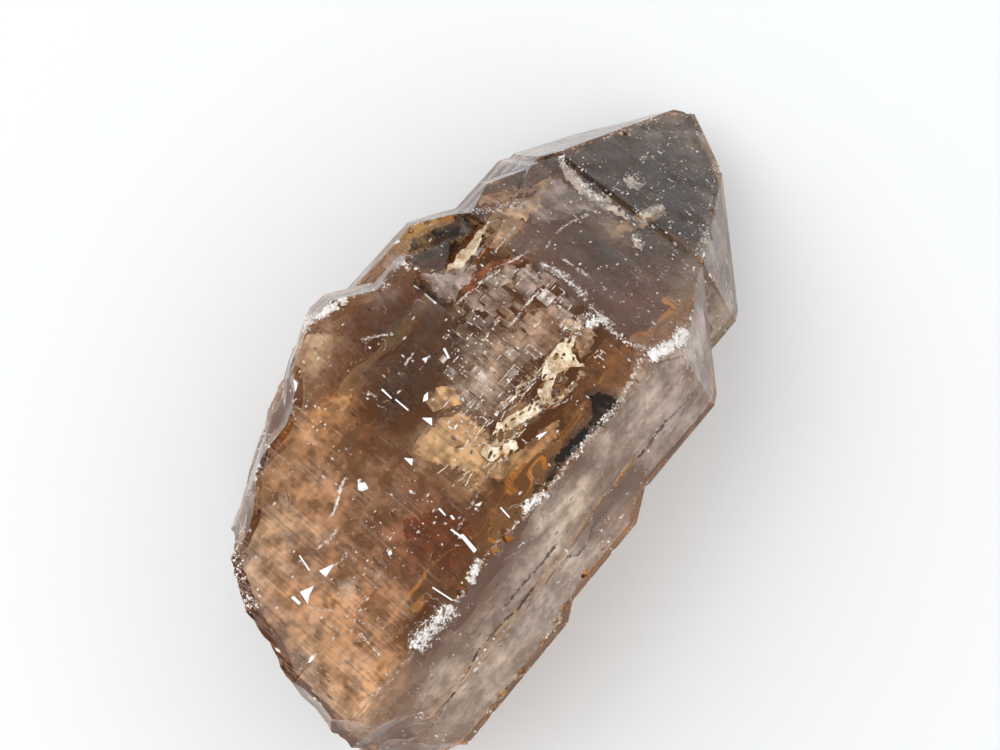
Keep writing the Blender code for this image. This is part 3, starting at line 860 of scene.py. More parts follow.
def cloud_and_painted_light_material():
    """Clouds inside the quartz, with painted shade, painted reflection and a painted glint among them: tint
    and cover are the piece's own, broken up by grain.
    """
    material, shader, out = new_material("inner cloud and painted light")
    tree = material.node_tree
    tint = node(tree, "ShaderNodeAttribute", attribute_name="cloud_and_painted_light_tint").outputs["Color"]
    cover = node(tree, "ShaderNodeAttribute", attribute_name="cloud_and_painted_light_cover").outputs["Fac"]
    grain, is_front = cloud_grain(tree)
    least = ranged(tree, is_front, 0.0, 1.0, 0.7, 0.5)
    most = ranged(tree, is_front, 0.0, 1.0, 1.25, 1.45)
    smooth = ranged(tree, grain, 0.5, 0.8, least, most)
    alpha = node(tree, "ShaderNodeMath", {0: cover, 1: smooth}, operation="MULTIPLY", use_clamp=True)
    tree.links.new(alpha.outputs["Value"], shader.inputs["Alpha"])
    shade = ranged(tree, grain, 0.45, 0.85, 0.75, 1.2)
    shaded = node(tree, "ShaderNodeVectorMath", {0: tint, "Scale": shade}, operation="SCALE")
    tree.links.new(shaded.outputs["Vector"], shader.inputs["Base Color"])
    tree.links.new(ranged(tree, grain, 0.4, 0.8, 0.4, 0.7), shader.inputs["Roughness"])
    shader.inputs["Specular IOR Level"].default_value = 0.1
    return material


COLOUR = {"size": 3, "min": 0, "max": 1, "subtype": "COLOR"}


class QuartzCrystalSettings(bpy.types.PropertyGroup):
    """Sizes and colours of the crystal itself."""

    chips: IntProperty(
        name="Edge chips", description="Small chips cut along the edges", default=300, min=0, max=600,
    )
    chip_size: FloatProperty(
        name="Chip size", description="Radius of the largest edge chip", default=0.0019, min=0.0005,
        max=0.004, unit="LENGTH",
    )
    seed: IntProperty(name="Seed", description="Changes where the chips and the blocks fall", default=31)
    blocks: IntProperty(
        name="Growth blocks", description="Flat pits etched in the front face", default=90, min=0,
        max=200,
    )
    block_depth: FloatProperty(
        name="Block depth", description="Depth of the deepest growth block", default=0.00045, min=0.0001,
        max=0.002, unit="LENGTH",
    )
    smoke: FloatVectorProperty(
        name="Smoke", description="Colour that the quartz lets through", default=(0.74, 0.52, 0.11), **COLOUR,
    )
    smoke_density: FloatProperty(
        name="Smoke density", description="How strongly the quartz absorbs, per metre", default=33.0,
        min=0,
    )
    tint_dark: FloatVectorProperty(
        name="Dark tint", description="Tint of the dark zones", default=(0.88, 0.78, 0.7), **COLOUR,
    )
    tint_warm: FloatVectorProperty(
        name="Warm tint", description="Tint of the brown zones", default=(0.98, 0.86, 0.76), **COLOUR,
    )
    tint_clear: FloatVectorProperty(
        name="Clear tint", description="Tint of the clear zones", default=(1.0, 0.96, 0.9), **COLOUR,
    )


class QuartzMarkSettings(bpy.types.PropertyGroup):
    """Sizes and colours of what lies on and in the crystal."""

    white: FloatVectorProperty(
        name="Bruise white", description="Colour of crushed quartz", default=(0.97, 0.96, 0.95), **COLOUR,
    )
    # The clay's light colour is partly painted highlight on its high parts, and its dark colour partly
    # painted shade in its hollows.
    clay_light_and_highlight: FloatVectorProperty(
        name="Light clay", description="Colour of the clay's high parts", default=(1.0, 0.92, 0.74), **COLOUR,
    )
    clay_dark_and_shade: FloatVectorProperty(
        name="Dark clay", description="Colour of the clay's hollows", default=(0.42, 0.22, 0.07), **COLOUR,
    )
    flake_height: FloatProperty(
        name="Flake height", description="Height of a bruise flake over its width", default=0.16,
        min=0.05, max=1.0, subtype="FACTOR",
    )
    specks: IntProperty(
        name="Specks", description="Small white specks over the faces", default=13000, min=0, max=16000,
    )
    dark_specks: IntProperty(
        name="Dark specks", description="Short dark dashes just under the faces", default=3500, min=0,
        max=9000,
    )
    edge_specks: IntProperty(
        name="Edge specks", description="Small white specks along the sharp edges", default=2600, min=0,
        max=6000,
    )
    wisps: IntProperty(
        name="Wisps", description="Short wisps just inside the faces", default=1300, min=0, max=3000,
    )
    bricks: IntProperty(
        name="Inner blocks", description="Blocks of many shades inside the front face", default=190,
        min=0, max=1500,
    )
    strands: IntProperty(
        name="Strands", description="Strands of clay, white and brown along the trench", default=150,
        min=0, max=600,
    )
    cloud_depth: FloatProperty(
        name="Cloud depth", description="How far inside the surface the clouds hang", default=0.0016,
        min=0.0005, max=0.01, unit="LENGTH",
    )
    cloud_grain: FloatProperty(
        name="Cloud grain", description="Size of the clouds' mesh", default=0.0016, min=0.001, max=0.005,
        unit="LENGTH",
    )


class QuartzStageSettings(bpy.types.PropertyGroup):
    """The floor, the lights and the camera."""

    floor_radius: FloatProperty(
        name="Floor radius", description="Radius of the round floor", default=4.0, min=0.5,
        unit="LENGTH",
    )
    gap: FloatProperty(
        name="Gap", description="Thin air under the crystal", default=0.0003, min=0, max=0.002,
        unit="LENGTH",
    )
    floor_colour: FloatVectorProperty(
        name="Floor colour", description="Pale floor", default=(0.76, 0.768, 0.774), **COLOUR,
    )
    zenith: FloatProperty(
        name="Light overhead", description="Strength of the room's light from straight above",
        default=0.35, min=0,
    )
    belt: FloatProperty(
        name="Light above", description="Strength of the room's light from half way up", default=1.65,
        min=0,
    )
    horizon: FloatProperty(
        name="Light around", description="Strength of the room's light from the side", default=0.9,
        min=0,
    )
    far_side: FloatProperty(
        name="Light past the point",
        description="Share of the light left on the side that the point looks to", default=0.85, min=0,
        max=1,
    )
    backdrop: FloatProperty(
        name="Backdrop", description="Brightness of the plain room behind the floor", default=0.93,
        min=0,
    )
    key_power: FloatProperty(
        name="Key light", description="Power of the large light above", default=3.0, min=0, unit="POWER",
    )


def sharp_edges(bm, least_angle, least_length):
    """Convex edges sharper than an angle, each with its outward direction."""
    found = []
    for edge in bm.edges:
        if len(edge.link_faces) != 2 or edge.calc_length() < least_length:
            continue
        if edge.calc_face_angle_signed() > least_angle:
            outward = (edge.link_faces[0].normal + edge.link_faces[1].normal).normalized()
            found.append((edge, outward))
    return found


def chip_cutters(bm, settings, rng, taken):
    """Small many-faced lumps set along the edges, none touching another."""
    edges = sharp_edges(bm, *CHIP_EDGE)
    lengths = [edge.calc_length() for edge, outward in edges]
    cutters = bmesh.new()
    made = 0
    for attempt in range(settings.chips * 12):
        if made >= settings.chips:
            break
        edge, outward = rng.choices(edges, lengths)[0]
        middle = edge.verts[0].co.lerp(edge.verts[1].co, rng.random())
        radius = settings.chip_size * (0.22 + 0.78 * rng.random() ** 2.6)
        at = middle + outward * radius * rng.uniform(0.3, 0.55)
        if at.z < CHIP_FLOOR or any((at - other).length < (radius + room) * 1.5 for other, room in taken):
            continue
        taken.append((at, radius))
        along_edge = (edge.verts[1].co - edge.verts[0].co).normalized()
        hull = bmesh.new()
        for corner in range(CHIP_CORNERS):
            spot = random_vector(rng).normalized()
            hull.verts.new(spot * rng.uniform(0.85, 1.0))
        bmesh.ops.convex_hull(hull, input=hull.verts)
        sizes = (radius * rng.uniform(1.0, 1.6), radius, radius * rng.uniform(0.6, 0.9))
        stretch = Matrix.Diagonal((*sizes, 1.0))
        place = Matrix.Translation(at) @ facing(outward, along_edge).to_4x4() @ stretch
        bmesh.ops.transform(hull, matrix=place, verts=hull.verts)
        drop_loose(hull)
        move_into(cutters, hull)
        made += 1
    return cutters


def level_ground(at, long_side, short_side):
    """Whether the front face is level under a box around a point."""
    margin = 0.0002
    for along_axis in (-1, -0.5, 0, 0.5, 1):
        for across in (-1, 0, 1):
            offset = (along_axis * (long_side / 2 + margin), across * (short_side / 2 + margin), 0.01)
            level = crystal_tree().ray_cast(at + Vector(offset), Vector((0, 0, -1)))[0]
            if level is None or abs(level.z - at.z) > BLOCK_GROUND:
                return False
    return True


def block_cutters(settings, rng, taken):
    """Flat boxes along and across the axis that etch pits in the front face, none touching another."""
    cutters = bmesh.new()
    boxes = []
    for attempt in range(settings.blocks * 20):
        if len(boxes) >= settings.blocks:
            break
        pixel = random_pixel(rng, BLOCK_FIELD)
        hit = on_crystal(pixel) if in_outline(pixel, BLOCK_FIELD) else None
        if not hit or hit[1].z < BLOCK_SLOPE:
            continue
        at = hit[0]
        long_side = rng.uniform(1.2, 6.5) * MM
        short_side = rng.uniform(0.6, 2.2) * MM
        depth = settings.block_depth * rng.uniform(0.3, 1.0)
        near_box = any(
            abs(at.x - other.x) < (long_side + length) / 2 + BLOCK_ROOM
            and abs(at.y - other.y) < (short_side + width) / 2 + BLOCK_ROOM
            for other, length, width in boxes
        )
        near_chip = any((at - other).length < room * 2 + long_side for other, room in taken)
        if near_box or near_chip or not level_ground(at, long_side, short_side):
            continue
        boxes.append((at, long_side, short_side))
        size = Matrix.Diagonal((long_side, short_side, BLOCK_TOOL, 1.0))
        middle = Matrix.Translation(at + UP * (BLOCK_TOOL / 2 - depth))
        place = middle @ Matrix.Rotation(rng.uniform(-0.02, 0.02), 4, "X") @ size
        bmesh.ops.create_cube(cutters, size=1.0, matrix=place)
    SHARED["blocks"] = boxes
    return cutters


def cut_body(settings):
    """The crystal with its small chips and blocks cut, the chips' faces with material index 1."""
    rng = random.Random(settings.seed)
    bm = merged_copy(NODE)
    bmesh.ops.dissolve_limit(bm, angle_limit=math.radians(0.05), verts=bm.verts, edges=bm.edges)
    bmesh.ops.triangulate(bm, faces=bm.faces)
    bm.normal_update()
    taken = []
    chips = chip_cutters(bm, settings, rng, taken)
    blocks = block_cutters(settings, rng, taken)
    body = add_object("uncut", mesh_of("uncut", bm))
    cutters = bpy.data.collections.new("cutters")
    bpy.context.scene.collection.children.link(cutters)
    holders = [body]
    for name, source, index in (("chips", chips, 1), ("blocks", blocks, 0)):
        bmesh.ops.recalc_face_normals(source, faces=source.faces)
        for face in source.faces:
            face.material_index = index
        cutter = bpy.data.objects.new(name, mesh_of(name, source))
        cutters.objects.link(cutter)
        holders.append(cutter)
    spares = [bpy.data.materials.new(name) for name in ("uncut face", "cut face")]
    for holder in holders:
        for spare in spares:
            holder.data.materials.append(spare)
    cut = body.modifiers.new("cut", "BOOLEAN")
    cut.operation = "DIFFERENCE"
    cut.solver = "EXACT"
    cut.operand_type = "COLLECTION"
    cut.collection = cutters
    done = evaluated(body)
    for holder in holders:
        discard(holder)
    bpy.data.collections.remove(cutters)
    for spare in spares:
        bpy.data.materials.remove(spare)
    return done


class QUARTZ_OT_crystal(bpy.types.Operator):
    """Build the smoky crystal with its small chips and growth blocks, in place of the CAD node"""

    bl_idname = "quartz.crystal"
    bl_label = "Crystal"

    def execute(self, context):
        settings = context.scene.quartz_crystal
        bm = cut_body(settings)
        open_edges = sum(1 for edge in bm.edges if len(edge.link_faces) != 2)
        if open_edges:
            raise RuntimeError(f"the crystal is open at {open_edges} edges")
        scars = bm.copy()
        uncut = [face for face in scars.faces if face.material_index != 1]
        bmesh.ops.delete(scars, geom=uncut, context="FACES")
        drop_loose(scars)
        scars.normal_update()
        for vert in scars.verts:
            vert.co += vert.normal * SCAR_RISE
        for face in bm.faces:
            face.material_index = 0
            face.smooth = False
        piece = new_piece("quartz_crystal", bm, smoky_glass(settings))
        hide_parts(NODE)
        new_piece("chip_scars", scars, chip_frost(context.scene.quartz_marks))
        return {"FINISHED"}


class QUARTZ_OT_bruises(bpy.types.Operator):
    """Set crushed white flakes along the bruised edges and corners"""

    bl_idname = "quartz.bruises"
    bl_label = "Bruised edges"

    def execute(self, context):
        settings = context.scene.quartz_marks
        rng = random.Random(5)
        flakes = Flakes(rng)
        for line, half_width, count, largest in BRUISES.values():
            for number in range(count):
                pixel, way = along(line, rng)
                off = rng.gauss(0, 0.5) * half_width
                spot = (pixel[0] - way[1] * off, pixel[1] + way[0] * off)
                gap = noise.noise(Vector((spot[0] * 0.22, spot[1] * 0.22, 0.0)))
                hit = on_crystal(spot)
                if not hit or gap < -0.12 - 0.3 * rng.random():
                    continue
                size = largest * MM * (0.16 + 0.6 * rng.random() ** 3)
                lead = random_vector(rng)
                tilted = (hit[1] + random_vector(rng, 0.12)).normalized()
                sizes = (size, size * rng.uniform(0.35, 0.9), size * settings.flake_height)
                flakes.add(hit[0], tilted, sizes, lead)
        flakes.piece("bruised_edges", bruise_white(settings))
        return {"FINISHED"}


def raised_verts(part):
    """Extrudes all faces of a bmesh in place and gives the new vertices."""
    raised = bmesh.ops.extrude_face_region(part, geom=part.faces)["geom"]
    return [item for item in raised if isinstance(item, bmesh.types.BMVert)]


def add_plate(bm, corners):
    """A thin closed plate over its corners' pixels, laid on the crystal."""
    spots = [on_crystal(pixel) for pixel in corners]
    if not all(spots):
        return
    part = bmesh.new()
    part.faces.new([part.verts.new(point + normal * PIT_RISE) for point, normal in spots])
    bmesh.ops.translate(part, vec=spots[0][1] * PIT_THICKNESS, verts=raised_verts(part))
    bmesh.ops.triangulate(part, faces=part.faces)
    bmesh.ops.recalc_face_normals(part, faces=part.faces)
    move_into(bm, part)


def line_flakes(flakes, line, largest, density, rng, rise=0.0, jitter=0.8):
    """Adds a crumbly line of flakes drawn out along it."""
    steps = int(sum(math.dist(a, b) for a, b in zip(line, line[1:])) * density)
    for number in range(steps):
        pixel, way = along(line, rng)
        hit = on_crystal((pixel[0] + rng.gauss(0, jitter), pixel[1] + rng.gauss(0, jitter)))
        drift = Vector((pixel[0] * 0.3, pixel[1] * 0.3, largest))
        if not hit or noise.noise(drift) < -0.25 + 0.2 * rng.random():
            continue
        lead = CAMERA_RIGHT * way[0] - CAMERA_UP * way[1]
        half = largest * MM * rng.uniform(0.25, 0.6)
        flakes.add(hit[0] + hit[1] * rise, hit[1], (half * rng.uniform(1.2, 3.0), half, half * 0.2), lead)


def outline_blocks(flakes, rng):
    """Crumbly lines along some sides of the growth blocks."""
    for at, long_side, short_side in SHARED.get("blocks", ()):
        for side in range(4):
            if rng.random() < 0.45:
                continue
            turned = side % 2 == 0
            run = long_side if turned else short_side
            over = (short_side if turned else long_side) / 2 * (1 if side < 2 else -1)
            lead = AXIS if turned else Vector((0, 1, 0))
            for step in range(int(run / BLOCK_LINE_STEP)):
                on = rng.uniform(-run / 2, run / 2)
                spot = at + (Vector((on, over, 0)) if turned else Vector((over, on, 0)))
                if noise.noise(spot * 700) < rng.uniform(-0.3, 0.4):
                    continue
                half = MM * rng.uniform(0.06, 0.17)
                flakes.add(spot, UP, (half * rng.uniform(1.2, 2.6), half, half * 0.25), lead)


def random_strand(rng, start):
    """A slightly bent line of pixels that leaves a pixel roughly along the axis."""
    length, lean = rng.uniform(5, 26), rng.gauss(0, 0.12)
    way = (-0.72 + lean, 0.69 + lean)
    bend = rng.gauss(0, 1.2)
    middle = (start[0] + way[0] * length / 2 + bend, start[1] + way[1] * length / 2 + bend)
    return start, middle, (start[0] + way[0] * length, start[1] + way[1] * length)


class QUARTZ_OT_scratches(bpy.types.Operator):
    """Draw the white lines, the painted glints of the etch pits, the dark cracks and the crumbs of clay"""

    bl_idname = "quartz.scratches"
    bl_label = "Lines, pits and cracks"

    def execute(self, context):
        settings = context.scene.quartz_marks
        rng = random.Random(8)
        lines, cracks, gold = Flakes(rng), Flakes(rng), Flakes(rng)
        for line, largest, density in SCRATCHES.values():
            line_flakes(lines, line, largest, density, rng)
        outline_blocks(lines, rng)

        # Painted glints: white plates on the etch pits and dashes.
        plates = bmesh.new()
        for corners in FLASHES.values():
            add_plate(plates, corners)
        new_piece("etch_pit_glints", plates, flash_white(settings))

        for line, width in CRACKS.values():
            line_flakes(cracks, line, width * 0.6, 2.4, rng, jitter=0.25 + width * 0.5)
        for line, largest, density in GOLD_LINES.values():
            line_flakes(gold, line, largest, density, rng, rise=-CRUMB_DEPTH, jitter=1.6)
        kinds = ((gold, 0.3), (gold, 0.22), (lines, 0.16), (cracks, 0.2), (cracks, 0.3))
        for number in range(settings.strands):
            spot = random_pixel(rng, TRENCH)
            if in_outline(spot, TRENCH):
                strand = random_strand(rng, spot)
                flakes, largest = rng.choice(kinds)
                line_flakes(flakes, strand, largest, 2.6, rng, jitter=0.3)
        lines.piece("scratches", bruise_white(settings))
        cracks.piece("cracks", dark_material())
        gold.piece("gold_crumbs", clay_material(settings))
        return {"FINISHED"}


def random_on_crystal(rng, low, high):
    """A random spot on the crystal, from a ray shot at it from outside."""
    for attempt in range(50):
        way = random_vector(rng, lift=0.5).normalized()
        aim = Vector([rng.uniform(a, b) for a, b in zip(low, high)])
        point, normal, face, far = crystal_tree().ray_cast(aim + way * 0.4, -way)
        if point and point.z > SPECK_FLOOR:
            return point, normal
    raise RuntimeError("no ray met the crystal")


def add_face_specks(flakes, rng, count, box):
    """White specks in drifts over all faces."""
    for number in range(count):
        point, normal = random_on_crystal(rng, *box)
        near = noise.noise(point * 60) + 0.5 * noise.noise(point * 260)
        if near < rng.uniform(-0.3, 0.55):
            continue
        size = MM * (0.07 + 0.28 * rng.random() ** 5)
        lead = AXIS if rng.random() < 0.6 else normal.cross(AXIS)
        flakes.add(point, normal, (size * rng.uniform(1, 2.6), size, size * 0.2), lead)


def add_dark_specks(flakes, rng, count, box):
    """Short dark dashes just under all faces."""
    for number in range(count):
        point, normal = random_on_crystal(rng, *box)
        if noise.noise(point * 110 + Vector((2, 2, 2))) < rng.uniform(-0.2, 0.5):
            continue
        size = MM * (0.08 + 0.25 * rng.random() ** 3)
        lead = normal.cross(AXIS) if normal.z > 0.9 else AXIS
        sizes = (size * rng.uniform(1.5, 4), size * 0.6, size * 0.3)
        flakes.add(point - normal * DARK_SPECK_DEPTH, normal, sizes, lead)


def add_edge_specks(flakes, rng, count):
    """White specks along the sharp edges."""
    bm = merged_copy(NODE)
    bm.normal_update()
    edges = [edge for edge, outward in sharp_edges(bm, *SPECK_EDGE)]
    lengths = [edge.calc_length() for edge in edges]
    for edge in rng.choices(edges, lengths, k=count):
        point = edge.verts[0].co.lerp(edge.verts[1].co, rng.random())
        if noise.noise(point * 70) < rng.uniform(-0.3, 0.45) or point.z < SPECK_FLOOR:
            continue
        size = MM * (0.06 + 0.3 * rng.random() ** 3)
        off = random_vector(rng) * 0.0003
        near, normal, face, far = crystal_tree().find_nearest(point + off)
        flakes.add(near, normal, (size, size * 0.6, size * 0.2), edge.verts[1].co - edge.verts[0].co)
    bm.free()


def add_wisps(flakes, rng, count, box):
    """Short strings of flecks that wander just inside the faces."""
    for number in range(count):
        point, normal = random_on_crystal(rng, *box)
        if noise.noise(point * 45 + Vector((4, 4, 4))) < rng.uniform(-0.35, 0.2):
            continue
        depth = MM * (0.2 + 3.5 * rng.random() ** 2)
        way = AXIS if rng.random() < 0.35 else random_vector(rng).normalized()
        at = point - normal * depth
        for step in range(rng.randint(4, 16)):
            bend = random_vector(rng) * 0.35
            way = (way + bend).normalized()
            at = at + way * WISP_STEP
            if under_surface(at) < WISP_COVER:
                break
            size = MM * rng.uniform(0.05, 0.15)
            sizes = (size * rng.uniform(1, 2.4), size, size * 0.3)
            flakes.add(at, (normal + bend * 0.8).normalized(), sizes, way)


class QUARTZ_OT_specks(bpy.types.Operator):
    """Scatter white and dark specks over the faces and edges, and short wisps just inside"""

    bl_idname = "quartz.specks"
    bl_label = "Specks and wisps"

    def execute(self, context):
        settings = context.scene.quartz_marks
        rng = random.Random(13)
        box = [Vector(corner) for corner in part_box(NODE)]
        white, dark, wisps = Flakes(rng), Flakes(rng), Flakes(rng)
        add_face_specks(white, rng, settings.specks, box)
        add_dark_specks(dark, rng, settings.dark_specks, box)
        dark.piece("dark_specks", dark_material())
        add_edge_specks(white, rng, settings.edge_specks)
        white.piece("white_specks", bruise_white(settings))
        add_wisps(wisps, rng, settings.wisps, box)
        wisps.piece("inner_wisps", wisp_white())
        return {"FINISHED"}


def clay_patch(outline, fill):
    """A fine grid laid on the crystal inside an outline of pixels, with holes where its net isn't full."""
    low, high = extent(outline)
    span = [high[axis] - low[axis] for axis in (0, 1)]
    patch = bmesh.new()
    bmesh.ops.create_grid(patch, x_segments=int(span[0] * 1.3), y_segments=int(span[1] * 1.3), size=0.5)
    gone = []
    for vert in patch.verts:
        x, y = (low[axis] + (vert.co[axis] + 0.5) * span[axis] for axis in (0, 1))
        hit = on_crystal((x, y))
        at = Vector((x, y, 0.0))
        wobble = (x + 3 * noise.noise(at * 0.16), y + 3 * noise.noise(at * 0.16 + UP * 5))
        lengthwise, sideways = grown((x, y))
        net = Vector((lengthwise, sideways * 2.2, 0.0))
        strand = abs(noise.noise(net * 0.07 + AXIS * 3)) * 2.2
        strand = min(strand, abs(noise.noise(net * 0.12 + Vector((0, 7, 0)))) * 2.6)
        if not hit or not in_outline(wobble, outline) or strand > fill:
            gone.append(vert)
        else:
            vert.co = hit[0]
    bmesh.ops.delete(patch, geom=gone, context="VERTS")
    drop_loose(patch)
    return patch


class QUARTZ_OT_clay(bpy.types.Operator):
    """Fill the front trench with its net of pale clay, and lay the gold sliver"""

    bl_idname = "quartz.clay"
    bl_label = "Clay"

    def execute(self, context):
        settings = context.scene.quartz_marks
        crust = bmesh.new()
        for outline, thickness, fill in CLAY.values():
            patch = clay_patch(outline, fill)
            bottom = list(patch.verts)
            for vert in raised_verts(patch):
                swell = 0.6 + 0.8 * noise.noise(vert.co * 900) + 0.4 * noise.noise(vert.co * 2600)
                rim = 0.35 if any(edge.is_boundary for edge in vert.link_edges) else 1.0
                vert.co += CAMERA_BACK * thickness * MM * max(swell, 0.15) * rim
            bmesh.ops.translate(patch, vec=CAMERA_BACK * -CLAY_ROOT, verts=bottom)
            bmesh.ops.recalc_face_normals(patch, faces=patch.faces)
            move_into(crust, patch)
        for face in crust.faces:
            face.smooth = True
        new_piece("clay_crust", crust, clay_material(settings))
        return {"FINISHED"}


def clouds_and_painted_light_at(pixel, point):
    """The colour and cover of the clouds at a pixel, painted shade and painted reflection among them, their
    edges bent by noise.
    """
    bent = Vector((noise.noise(point * 90), noise.noise(point * 90 + AXIS * 7), 0)) * 9
    at = (pixel[0] + bent.x, pixel[1] + bent.y)
    colour, weight, clear = Vector((0, 0, 0)), 0.0, 1.0
    for centre, length, width, tint, cover in CLOUDS_AND_PAINTED_LIGHT.values():
        lengthwise, sideways = grown((at[0] - centre[0], at[1] - centre[1]))
        reach = (lengthwise / length) ** 2 + (sideways / width) ** 2
        part = cover * math.exp(-(reach**1.6))
        colour += Vector(tint) * part
        weight += part
        clear *= 1 - part
    shade = 1.0 + 0.35 * noise.noise(point * 130) + 0.25 * noise.noise(point * 420)
    patchy = 1.0 + 0.5 * noise.noise(point * 190 + AXIS * 6)
    return (colour * (shade / weight) if weight > 1e-4 else Vector(TAN)), (1 - clear) * patchy


def hidden_cloud(point):
    """The colour and cover of the clouds where the photograph shows nothing."""
    colour = Vector(LILAC).lerp(Vector(TAN), 0.5 + noise.noise(point * 40))
    strength = 0.32 + 0.9 * noise.noise(point * 34 + AXIS * 9)
    return colour, strength if strength > 0.3 else 0.0


def even_skin(voxel):
    """A bmesh of the crystal's skin in even faces."""
    shell = add_object("skin", mesh_of("skin", merged_copy(NODE)))
    remesh = shell.modifiers.new("even", "REMESH")
    remesh.mode = "VOXEL"
    remesh.voxel_size = voxel
    bm = evaluated(shell)
    discard(shell)
    bm.normal_update()
    return bm


class Sheets:
    """Thin inner sheets in one bmesh, each vertex with its own colour and cover."""

    def __init__(self, rng, bm):
        self.rng = rng
        self.bm = bm
        self.tint = self.bm.verts.layers.float_color.new("cloud_and_painted_light_tint")
        self.cover = self.bm.verts.layers.float.new("cloud_and_painted_light_cover")

    def paint(self, verts, colour, strength):
        """Gives vertices a colour and a cover."""
        for vert in verts:
            vert[self.tint] = (*colour, 1.0)
            vert[self.cover] = strength

    def add_patch(self, outline, colour, strength, depth):
        """A grid that follows the surface a little inside it, cut to an outline of pixels."""
        low, high = extent(outline)
        span = [high[axis] - low[axis] for axis in (0, 1)]
        steps = {"x_segments": int(span[0] * 0.8) + 2, "y_segments": int(span[1] * 0.8) + 2}
        gone = []
        for vert in bmesh.ops.create_grid(self.bm, size=0.5, **steps)["verts"]:
            pixel = [low[axis] + (vert.co[axis] + 0.5) * span[axis] for axis in (0, 1)]
            bend = Vector((pixel[0], pixel[1], 0)) * 0.22
            bent = (pixel[0] + 3.5 * noise.noise(bend), pixel[1] + 3.5 * noise.noise(bend + UP * 5))
            hit = on_crystal(pixel)
            if not hit or not in_outline(bent, outline):
                gone.append(vert)
                continue
            ray = photo_ray(pixel)
            vert.co = hit[0] + ray * depth / max(-hit[1].dot(ray), 0.4)
            broken = strength * (1.0 + 0.7 * noise.noise(vert.co * 300) + 0.4 * noise.noise(vert.co * 900))
            shade = 1.0 + 0.35 * noise.noise(vert.co * 420 + AXIS * 3)
            self.paint([vert], [part * shade for part in colour], broken)
        bmesh.ops.delete(self.bm, geom=gone, context="VERTS")

    def add_strip(self, at, normal, length, breadth, colour, strength):
        """A flat rectangle in a face's plane; its length follows the axis."""
        turn = facing(normal, AXIS)
        corners = [Vector((sx * length, sy * breadth, 0)) for sx, sy in ((-1, -1), (1, -1), (1, 1), (-1, 1))]
        verts = [self.bm.verts.new(at + turn @ corner * 0.5) for corner in corners]
        self.bm.faces.new(verts)
        self.paint(verts, colour, strength)

    def random_under(self, outline):
        """A random spot on the crystal inside an outline of pixels, with its normal, or None."""
        pixel = random_pixel(self.rng, outline)
        hit = on_crystal(pixel)
        return hit if hit and in_outline(pixel, outline) else None

    def add_bricks(self, count):
        """Flat blocks of many shades inside the front face, some with dark slots beside them that are painted
        shade.
        """
        for number in range(count):
            hit = self.random_under(BRICK_FIELD)
            if hit is None or hit[1].z < 0.98:
                continue
            at = hit[0]
            depth = self.rng.uniform(0.15, 0.9) * MM
            long_side, short_side = self.rng.uniform(0.8, 3.0) * MM, self.rng.uniform(0.8, 5.0) * MM
            pick = 0.5 + 0.9 * noise.noise(at * 120) + self.rng.gauss(0, 0.22)
            colour = BRICK_COLOURS[max(0, min(len(BRICK_COLOURS) - 1, int(pick * len(BRICK_COLOURS))))]
            cover = self.rng.uniform(0.15, 0.45)
            self.add_strip(at - UP * depth, UP, long_side, short_side, colour, cover)
            if self.rng.random() < 0.35:
                # Painted shade: a dark slot beside the block.
                edge = at + Vector((long_side / 2, 0, -depth * 0.5))
                slot = self.rng.uniform(0.05, 0.14) * MM
                self.add_strip(edge, UP, slot, short_side * 0.8, DARK, self.rng.uniform(0.4, 1.0))

    def add_lines(self, outline, count, colour, strength, lengthwise):
        """Fine lines along or across the axis, just inside the face."""
        for number in range(count):
            hit = self.random_under(outline)
            if hit is None:
                continue
            at, normal = hit
            length = (0.5 + 3.5 * self.rng.random() ** 2) * MM
            breadth = self.rng.uniform(0.04, 0.11) * MM
            size = (length, breadth) if lengthwise else (breadth, length)
            inside = at - normal * self.rng.uniform(0.08, 0.3) * MM
            self.add_strip(inside, normal, *size, colour, strength * self.rng.uniform(0.4, 1.4))


class QUARTZ_OT_clouds_and_painted_light(bpy.types.Operator):
    """Hang soft clouds and broken planes just inside the faces, with painted shade, painted reflection and a
    painted glint among them
    """

    bl_idname = "quartz.clouds"
    bl_label = "Inner clouds and painted light"

    def execute(self, context):
        settings = context.scene.quartz_marks
        rng = random.Random(21)
        material = cloud_and_painted_light_material()
        # Among these clouds are painted shade and painted reflection, as their table marks.
        clouds = Sheets(rng, even_skin(settings.cloud_grain))
        gone, moves = [], []
        for vert in clouds.bm.verts:
            pixel = pixel_of(vert.co)
            seen = on_crystal(pixel)
            faced = vert.normal.dot((CAMERA_AT - vert.co).normalized())
            shown = seen and faced > SEEN_FACING and (seen[0] - vert.co).length < SEEN_REACH
            colour, strength = clouds_and_painted_light_at(pixel, vert.co) if shown else hidden_cloud(vert.co)
            clouds.paint([vert], colour, strength)
            depth = settings.cloud_depth * (1.0 + 0.4 * noise.noise(vert.co * 70))
            moves.append((vert, -vert.normal * depth))
            if strength < 0.1 or vert.co.z < CLOUD_FLOOR:
                gone.append(vert)
        for vert, move in moves:
            vert.co += move
        bmesh.ops.delete(clouds.bm, geom=gone, context="VERTS")
        drop_loose(clouds.bm)
        for face in clouds.bm.faces:
            face.smooth = True
        new_piece("inner_clouds_and_painted_light", clouds.bm, material)

        # Among these planes are painted shade and a painted glint, and the dark slots beside the blocks are
        # painted shade.
        sheets = Sheets(rng, bmesh.new())
        for outline, colour, strength, depth in PLANES_AND_PAINTED_LIGHT.values():
            sheets.add_patch(outline, colour, strength, depth * MM)
        sheets.add_bricks(settings.bricks)
        for field, count, colour, strength, lengthwise in HATCHES:
            sheets.add_lines(HATCH_FIELDS[field], count, colour, strength, lengthwise)
        drop_loose(sheets.bm)
        new_piece("inner_planes_and_painted_light", sheets.bm, material)
        return {"FINISHED"}


